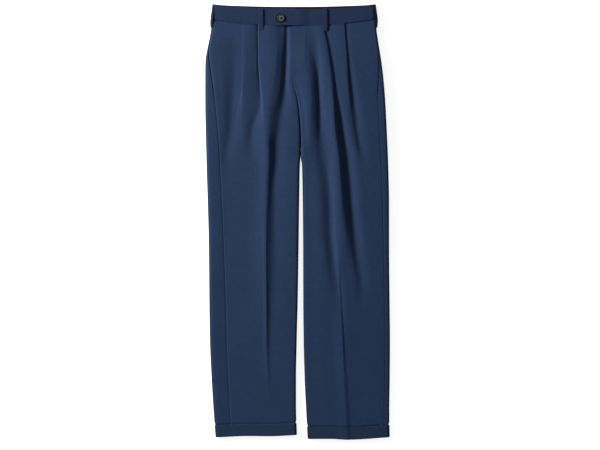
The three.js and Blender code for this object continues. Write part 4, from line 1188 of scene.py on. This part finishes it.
def panel_rows(count):
    """Heights of a panel's rows, from a millimetre inside the waistband: even, with finer rows down
    to the turn-up's top edge."""
    top, lowest = CUFF_TOP_Y, 14
    fine = np.arange(top + CUFF_STEP, top - 4, -0.8)
    upper = np.linspace(WAIST_Y + 1, top + CUFF_STEP + 1, count - lowest)
    lower = np.linspace(top - 5, PANEL_END_Y, lowest)
    return np.concatenate([upper, fine, lower])


def cuff_groove(half, points):
    """How far a leg's cloth is pressed in along the turn-up's top edge: a bell curve over the
    height, which fades towards the leg's outer and inner folds."""
    x, y = points[..., 0], points[..., 1]
    level = y - half.hem.at("rise", x, "x") - (CUFF_TOP_Y + 0.6)
    low, high = x.min(axis=1, keepdims=True), x.max(axis=1, keepdims=True)
    inside = ease((np.minimum(x - low, high - x) - 1) / 9)
    return GROOVE_DEPTH * bell(level, GROOVE_WIDTH) * inside


FRONT_ROWS = 362
BACK_ROWS = 240


class TROUSERS_OT_fronts(BuildOperator, bpy.types.Operator):
    """Makes both fronts, with their pleats, pressed creases and soft folds"""

    bl_idname = "trousers.fronts"
    bl_label = "Fronts"

    def build(self, context):
        wall = context.scene.trousers_sizes.cloth_wall / MM
        y = panel_rows(FRONT_ROWS)
        for name, half in HALVES.items():
            points = placed(half, y, *front_grid(half, y))
            across = run_lengths(points, 1)
            down = run_lengths(points, 0)
            inner_edge, seam_edge = across, across[:, -1:] - across
            below_band = np.maximum(down - 1, 0)
            sink = half.seam_sink * bell(seam_edge, SEAM_WIDTH)
            sink = sink + 0.8 * bell(below_band, BAND_SEAM_WIDTH)
            sink = sink + cuff_groove(half, points)
            closed_seam = (y < FLY_END_Y - 6).reshape(-1, 1)
            sink = sink + 0.35 * closed_seam * bell(inner_edge, SEAM_WIDTH)
            # Painted shade on the folds' upper shoulders, and a painted shadow in a line just below
            # the waistband.
            shade = rim_shade(half, y, points[..., 0], points[..., 2])
            shade = shade * (1 - 0.3 * bell(below_band, 1.8))
            # Below the tab's lower edge the front is sunk and darkened with a painted shadow.
            if half is RIGHT:
                x = points[..., 0]
                under_tab = ease((x + 54) / 8) * bell(np.maximum(below_band - 1, 0), 2.6)
                sink = sink + under_tab
                shade = shade * (1 - 0.6 * under_tab)
            thickness = wall * rounded(np.minimum(inner_edge, seam_edge), 0.8)
            grain = across - across[:, CREASE_COLUMN:CREASE_COLUMN + 1]
            uv = np.stack([grain, y.reshape(-1, 1) + 0 * grain], axis=-1) * MM
            piece = shell(f"Front_{name}", points, half.side, thickness, suiting(), uv, sink, shade)
            finish_cloth(piece, points, f"front_{name}")


class TROUSERS_OT_backs(BuildOperator, bpy.types.Operator):
    """Makes both backs, which turn over the outer folds to the side seams"""

    bl_idname = "trousers.backs"
    bl_label = "Backs"

    def build(self, context):
        wall = context.scene.trousers_sizes.cloth_wall / MM
        y = panel_rows(BACK_ROWS)
        for name, half in HALVES.items():
            points = placed(half, y, *back_grid(half, y))
            across = run_lengths(points, 1)
            down = run_lengths(points, 0)
            seam_edge, inner_edge = across, across[:, -1:] - across
            sink = 0.1 * bell(seam_edge, SEAM_WIDTH)
            sink = sink + 0.4 * bell(np.maximum(down - 1, 0), BAND_SEAM_WIDTH)
            sink = sink + cuff_groove(half, points)
            thickness = wall * rounded(np.minimum(inner_edge, seam_edge), 0.8)
            uv = np.stack([across, y.reshape(-1, 1) + 0 * across], axis=-1) * MM
            # Painted shade on the folds' upper shoulders.
            shade = rim_shade(half, y, points[..., 0], points[..., 2])
            piece = shell(f"Back_{name}", points, half.side, thickness, suiting(), uv, sink, shade)
            finish_cloth(piece, points, f"back_{name}")


class TROUSERS_OT_cuffs(BuildOperator, bpy.types.Operator):
    """Makes the turn-ups, each a band round the leg's end with its fold at the bottom"""

    bl_idname = "trousers.cuffs"
    bl_label = "Turn-ups"

    def build(self, context):
        top = CUFF_TOP_Y
        near = CLOTH / 2 + SEAM_GAP
        far = near + CUFF_CLOTH
        turn = np.linspace(0, np.pi / 2, 5)
        crown = np.linspace(0, np.pi, 7)
        thick = CUFF_CLOTH / 2
        bottom = HEM_Y + CUFF_CLOTH
        profile = np.concatenate([
            pairs(top - thick + thick * np.sin(crown), near + thick - thick * np.cos(crown)),
            [[lerp(top - 2, HEM_Y + 3, t), far] for t in np.linspace(0, 1, 9)],
            pairs(bottom - CUFF_CLOTH * np.sin(turn), near + CUFF_CLOTH * np.cos(turn)),
            [[HEM_Y, -CLOTH / 2], [bottom, -CLOTH / 2], [bottom, near]],
            [[lerp(HEM_Y + 4, top - 4, t), near] for t in np.linspace(0, 1, 4)],
        ])
        y, away = profile[:, 0], profile[:, 1:]
        for name, half in HALVES.items():
            level = np.clip(y, PANEL_END_Y, top)
            front = front_grid(half, level)
            back = back_grid(half, level, 24)
            x = np.concatenate([front[0], back[0][:, :-1]], axis=1)
            z = np.concatenate([front[1], back[1][:, :-1]], axis=1)
            under = np.concatenate([front[2], back[2][:, :-1]], axis=1)
            across = np.stack([np.roll(v, -1, 1) - np.roll(v, 1, 1) for v in (x, z)])
            across /= np.maximum(np.linalg.norm(across, axis=0), 1e-9)
            seam = front[0].shape[1] - 0.5
            from_seam = np.abs(np.arange(x.shape[1]) - seam)[None, :] * 0.9
            sink = 0.4 * bell(from_seam, 1.3) * (away > far - 0.2)
            x = x - half.side * across[1] * (away - sink)
            z = z + half.side * across[0] * (away - sink)
            points = np.stack([x, lengthwise(half, y.reshape(-1, 1), x, under), z], axis=-1)
            grain = run_lengths(points, 1)
            uv = np.stack([grain, points[..., 1]], axis=-1) * MM
            # Painted shade on the folds' upper shoulders.
            shade = rim_shade(half, level, x, z)
            piece = torus_wall(f"Turn_up_{name}", points, suiting("Turn_up_suiting"), uv, shade)
            outer = points[:CUFF_OUTER_POINTS]
            finish_cloth(piece, outer, f"cuff_{name}")


class TROUSERS_OT_waistband(BuildOperator, bpy.types.Operator):
    """Makes both halves of the waistband, the left one with its pointed tab, and the lining"""

    bl_idname = "trousers.waistband"
    bl_label = "Waistband"

    def build(self, context):
        wall = context.scene.trousers_sizes.band_wall / MM
        edges = np.array([0, 0.008, 0.02, 0.04, 0.07])
        between_edges = np.linspace(0.07, 0.93, 20)
        shares = np.unique(np.concatenate([edges, 1 - edges, between_edges, [TAB_TIP_SHARE]]))
        ends = {
            "right": np.full(shares.shape, CENTRE_FRONT.at("x", WAIST_Y) + FLY_LAP),
            "left": tab_end(shares),
        }
        for name, half in HALVES.items():
            points = band_grid(half, shares, ends[name])[::-1]
            across = run_lengths(points, 1)
            down = run_lengths(points, 0)
            edge = np.minimum(down, down[-1:] - down)
            edge = np.minimum(edge, np.minimum(across, across[:, -1:] - across))
            thickness = wall * rounded(edge, 1.1)
            uv = np.stack([points[..., 1], across], axis=-1) * MM
            x, level = points[..., 0], points[..., 1]
            # Painted shade along the upper shoulder of the band's side fold.
            outline = (half.side * x).max(axis=1, keepdims=True) - half.side * x
            upper = ease((points[..., 2] - 6) / 3)
            shade = 1 - RIM_SHADE * upper * rim(outline, 0)
            sink = 0 * x
            if half is LEFT:
                front = points[..., 2] > 10
                round_button = np.hypot(x - BUTTON_X, level - BUTTON_Y) - BUTTON_RADIUS
                ring = front * bell(round_button - HOLLOW[0], HOLLOW[1])
                ends_of_slit = ease((x - BUTTONHOLE_X[0]) / 1.5) * ease((SLIT_END_X - x) / 1.5)
                slit = front * bell(level - BUTTON_Y, 0.9) * ends_of_slit
                sink = HOLLOW_DEPTH * np.maximum(ring, slit)
                # Painted shade in the hollow round the button and in the buttonhole's slit, which
                # are also sunk.
                shade = shade * (1 - 0.6 * ring) * (1 - 0.7 * slit)
            cloth = suiting("Band_suiting")
            piece = shell(
                f"Waistband_{name}", points, half.side, thickness, cloth, uv, sink, shade
            )
            finish_cloth(piece, points, f"waistband_{name}")
        x = np.linspace(*LINING_X, 120)[None, :]
        share = np.linspace(*LINING_SHARES, 14).reshape(-1, 1)
        z = BACK_LIFT + BAND_CLOTH + SEAM_GAP + LINING_CLOTH / 2
        grid = np.stack([x + 0 * share, band_back_y(x, share), z + 0 * x + 0 * share], axis=-1)
        uv = grid[..., :2] * MM
        edge = run_lengths(grid, 0)
        edge = np.minimum(edge, edge[-1:] - edge)
        thickness = LINING_CLOTH * rounded(edge, 0.5)
        piece = shell("Waistband_lining", grid, 1.0, thickness, lining(), uv)
        finish_cloth(piece, grid, "waistband_lining")


class TROUSERS_OT_pocket_facings(BuildOperator, bpy.types.Operator):
    """Makes the cloth that shows behind each pocket's mouth"""

    bl_idname = "trousers.pocket_facings"
    bl_label = "Pocket facings"

    def build(self, context):
        y = np.linspace(POCKET_TOP_Y, POCKET_END_Y - 10, 90)
        for name, half in HALVES.items():
            ring = ring_at(half, y)
            distance = seam_distance(ring) - np.linspace(-1, 1, 22) * FACING_HALF_WIDTH
            points = placed(half, y, *outer_curve(ring, distance))
            depth = CLOTH / 2 + BENT_SEAM_GAP + FACING_CLOTH / 2
            middle = points - outward(points, half.side) * depth
            across = run_lengths(middle, 1)
            uv = np.stack([across, y.reshape(-1, 1) + 0 * across], axis=-1) * MM
            thickness = np.full(across.shape, FACING_CLOTH * 0.9)
            piece = shell(f"Pocket_facing_{name}", middle, half.side, thickness, suiting(), uv)
            finish_cloth(piece, middle, f"pocket_facing_{name}")


def loop_strip(node, base, out, wall, stand=0.0, shade=None):
    """A belt loop over a grid of base points, along by across, with its outward directions: it
    stands off by as much as is given, and its edges are folded round."""
    points = base + out * (stand + SEAM_GAP + wall / 2 + 0 * base[..., 0])[..., None]
    across = run_lengths(points, 1)
    edge = np.minimum(across, across[:, -1:] - across)
    thickness = wall * rounded(edge, 0.9, 0.5)
    uv = np.stack([across, run_lengths(points, 0)], axis=-1) * MM
    facing = np.cross(points[0, -1] - points[0, 0], points[-1, 0] - points[0, 0])
    side = 1.0 if facing @ out[0, 0] < 0 else -1.0
    cloth = suiting("Band_suiting")
    piece = shell(node.capitalize(), points, side, thickness, cloth, uv, 0 * across, shade)
    finish_cloth(piece, points, node)


def side_loop_base(half, share):
    """Points that a side loop lies on, with their outward directions, at shares of its length: half
    an ellipse round the waistband's fold, which passes over to the panel's below the band."""
    side = half.side
    y = lerp(BAND_TOP_Y - 0.5, SIDE_LOOP_BOTTOM, share)
    band_share = np.clip((y - WAIST_Y) / (BAND_TOP_Y - WAIST_Y), 0, 1)
    on_panel = ease((WAIST_Y - y) / SIDE_LOOP_SETTLE)
    inwards = 2 * band_share + BAND_CLOTH / 2 + EDGE_RADIUS
    band_x = half.sections.at("edge", WAIST_Y) - side * inwards
    ring = ring_at(half, np.minimum(y, WAIST_Y).ravel())
    crest = lerp(band_front_z(band_x), top_height(ring, ring.outer_centre), on_panel)
    floor = lerp(BAND_BACK_Z, ring.floor, on_panel)
    wall = lerp(BAND_CLOTH, CLOTH, on_panel)
    centre = lerp(band_x, ring.outer_centre, on_panel)
    angle = np.linspace(*SIDE_LOOP_TURN, 17)[None, :]
    wide, high = EDGE_RADIUS + wall / 2, (crest - floor) / 2 + wall / 2
    x = centre + side * wide * np.cos(angle)
    z = (crest + floor) / 2 + high * np.sin(angle)
    out = np.stack([side * np.cos(angle) / wide, 0 * x, np.sin(angle) / high], axis=-1)
    out = out / np.linalg.norm(out, axis=-1, keepdims=True)
    return np.stack([x, y + 0 * x, z], axis=-1), out


class TROUSERS_OT_belt_loops(BuildOperator, bpy.types.Operator):
    """Makes the seven belt loops: two in front, two at the sides and three behind"""

    bl_idname = "trousers.belt_loops"
    bl_label = "Belt loops"

    def build(self, context):
        wall = context.scene.trousers_sizes.loop_wall / MM
        share = np.linspace(0, 1, 60).reshape(-1, 1)
        width = np.linspace(-0.5, 0.5, 17)[None, :] * LOOP_WIDTH
        up = np.array([0.0, 0.0, 1.0])
        for name, middle in FRONT_LOOPS_X.items():
            half = HALVES[name]
            x = middle + width + 0 * share
            y = lerp(band_front_y(middle, 1) - 0.5, LOOP_BOTTOM, share) + 0 * x
            node = f"belt_loop_front_{name}"
            rise = tab_rise(x[0]) if half.side > 0 else 0.0
            band_z = (band_front_z(x[0]) + rise).max() + BAND_CLOTH / 2
            panel_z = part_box(node)[0][2] / MM - SEAM_GAP
            z = lerp(band_z, min(panel_z, band_z), between(share, *LOOP_FALL)) + 0 * x
            grid = np.stack([x, y, z], axis=-1)
            lift = FRONT_LOOP_LIFT * LOOP_STAND_OFF
            stand = lift * np.sin(np.pi * share) ** FRONT_LOOP_FULLNESS
            loop_strip(node, grid, up + 0 * grid, wall, stand)
        for name, middle in BACK_LOOPS_X.items():
            x = middle + width + 0 * share
            y = lerp(band_back_y(middle, 1) - 0.5, BACK_LOOP_BOTTOM, share) + 0 * x
            z = LOOP_CLOTH + SEAM_GAP + 0 * x
            grid = np.stack([x, y, z], axis=-1)
            loop_strip(f"belt_loop_back_{name}", grid, -up + 0 * grid, wall)
        for name, half in HALVES.items():
            grid, out = side_loop_base(half, share)
            arch = np.sin(np.pi * share**SIDE_LOOP_DROOP) ** SIDE_LOOP_FULLNESS
            # Painted shade: the side loops are darkened all over.
            shade = SIDE_LOOP_SHADE + 0 * grid[..., 0]
            stand = SIDE_LOOP_STAND_OFF * arch
            loop_strip(f"belt_loop_side_{name}", grid, out, wall, stand, shade)


class TROUSERS_OT_sewing(BuildOperator, bpy.types.Operator):
    """Makes the stitching of the fly, the pockets' bar tacks and the tab's buttonhole"""

    bl_idname = "trousers.sewing"
    bl_label = "Sewing"

    def build(self, context):
        length = context.scene.trousers_sizes.stitch / MM
        up = (0.0, 0.0, 1.0)
        # The fly's line runs straight down, then bends in a quarter of an ellipse to its end.
        turn = np.linspace(0, np.pi / 2, 24)
        wide, long = FLY_STITCH_TURN
        top, bend = FLY_STITCH_Y
        x = np.concatenate([np.full(60, FLY_STITCH_X), FLY_STITCH_X + wide * (np.cos(turn) - 1)])
        y = np.concatenate([np.linspace(top, bend, 60), bend - long * np.sin(turn)])
        path = np.stack([x, y, front_outside(LEFT, x, y) + 0.05], axis=-1)
        finish_sewing(stitch_row("Fly_stitching", path, up, length, 0.8, 0.28))
        # A bar tack closes the foot of each pocket's mouth.
        for name, half in HALVES.items():
            side = half.side
            edge, inset = (half.sections.at(key, POCKET_END_Y) for key in ("edge", "seam"))
            x = edge - side * inset - side * np.linspace(-4, 14, 30)
            y = POCKET_END_Y - 3 + 0 * x
            path = np.stack([x, y, front_outside(half, x, y) + 0.1], axis=-1)
            finish_sewing(stitch_row(f"Pocket_tack_{name}", path, up, 1.5, 0.15, 0.4))
        # The buttonhole's edge is sewn over all round.
        turn = np.linspace(0, 2 * np.pi, 60)
        start, end = BUTTONHOLE_X
        middle, half_length = (start + end) / 2, (end - start) / 2
        x = middle + (half_length + 0.9) * np.cos(turn)
        y = BUTTON_Y + 1.5 * np.sign(np.sin(turn)) * np.abs(np.sin(turn)) ** 0.6
        z = band_front_z(x) + tab_rise(x) + BAND_CLOTH / 2
        path = np.stack([x, y, z], axis=-1)
        finish_sewing(stitch_row("Buttonhole_stitching", path, up, 1.3, 0.15, 0.35))


class TROUSERS_OT_button(BuildOperator, bpy.types.Operator):
    """Finishes the button and sews it on with crossed thread"""

    bl_idname = "trousers.button"
    bl_label = "Button"

    def build(self, context):
        looks = context.scene.trousers_looks
        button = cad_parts["button"]
        button.data.materials.clear()
        button.data.materials.append(horn_material(looks.horn_dark, looks.horn_light))
        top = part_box("button")[1][2] / MM - 0.75
        for number, direction in enumerate((1.0, -1.0)):
            off = BUTTON_SPREAD * 1.15
            a = (BUTTON_X - off, BUTTON_Y - off * direction, top)
            b = (BUTTON_X + off, BUTTON_Y + off * direction, top)
            path = np.linspace(a, b, 12)
            path[:, 2] += 0.5 * number + 0.25
            name, length = f"Button_thread_{number + 1}", 2 * off * 1.38
            finish_sewing(stitch_row(name, path, (0, 0, 1), length, 0.0, 0.42))


class TROUSERS_OT_stage(BuildOperator, bpy.types.Operator):
    """Makes the floor, the light and the camera, which looks straight down"""

    bl_idname = "trousers.stage"
    bl_label = "Stage"

    def build(self, context):
        looks = context.scene.trousers_looks
        scene = context.scene
        bpy.ops.mesh.primitive_plane_add(size=12.0, location=(0.0, 0.0, -0.0002))
        floor = context.active_object
        floor.name = "Floor"
        floor.data.materials.append(lit_floor_material(looks.floor, looks.floor_glow))

        key = bpy.data.objects.new("Key_light", bpy.data.lights.new("Key_light", "AREA"))
        key.data.energy = looks.key
        key.data.shape = "DISK"
        key.data.size = 1.0
        key.location = (-2.4, 1.0, 1.25)
        towards = Vector((0.0, 0.25, 0.0)) - key.location
        key.rotation_euler = towards.to_track_quat("-Z", "Y").to_euler()
        scene.collection.objects.link(key)

        world = bpy.data.worlds.new("Studio")
        world.use_nodes = True
        world.node_tree.nodes["Background"].inputs["Color"].default_value = (1.0, 1.0, 1.0, 1.0)
        world.node_tree.nodes["Background"].inputs["Strength"].default_value = looks.fill
        scene.world = world

        camera = bpy.data.objects.new("Camera", bpy.data.cameras.new("Camera"))
        distance = 5.0
        camera.data.sensor_width = 36.0
        camera.data.lens = camera.data.sensor_width * distance / 1.5  # 1.5 m wide at the floor
        camera.location = (0.0065, -0.0079, distance)
        camera.data.clip_end = 100.0
        scene.collection.objects.link(camera)
        scene.camera = camera
        scene.view_settings.view_transform = "Standard"


OPERATORS = (
    TROUSERS_OT_stage,
    TROUSERS_OT_fronts,
    TROUSERS_OT_backs,
    TROUSERS_OT_cuffs,
    TROUSERS_OT_waistband,
    TROUSERS_OT_pocket_facings,
    TROUSERS_OT_belt_loops,
    TROUSERS_OT_sewing,
    TROUSERS_OT_button,
)


class TROUSERS_PT_panel(bpy.types.Panel):
    """Lists the sizes, the looks and the pieces"""

    bl_idname = "TROUSERS_PT_panel"
    bl_label = "Pleated dress trousers"
    bl_space_type = "VIEW_3D"
    bl_region_type = "UI"
    bl_category = "Trousers"

    def draw(self, context):
        layout = self.layout
        for group in (context.scene.trousers_sizes, context.scene.trousers_looks):
            box = layout.box()
            for name in group.__annotations__:
                box.prop(group, name)
        for operator in OPERATORS:
            layout.operator(operator.bl_idname)


CLASSES = (TrousersSizes, TrousersLooks, *OPERATORS, TROUSERS_PT_panel)


def register():
    for cls in CLASSES:
        bpy.utils.register_class(cls)
    bpy.types.Scene.trousers_sizes = bpy.props.PointerProperty(type=TrousersSizes)
    bpy.types.Scene.trousers_looks = bpy.props.PointerProperty(type=TrousersLooks)


def unregister():
    del bpy.types.Scene.trousers_looks
    del bpy.types.Scene.trousers_sizes
    for cls in reversed(CLASSES):
        bpy.utils.unregister_class(cls)


def main():
    register()
    for operator in OPERATORS:
        group, name = operator.bl_idname.split(".")
        getattr(getattr(bpy.ops, group), name)()


if __name__ == "__main__":
    main()
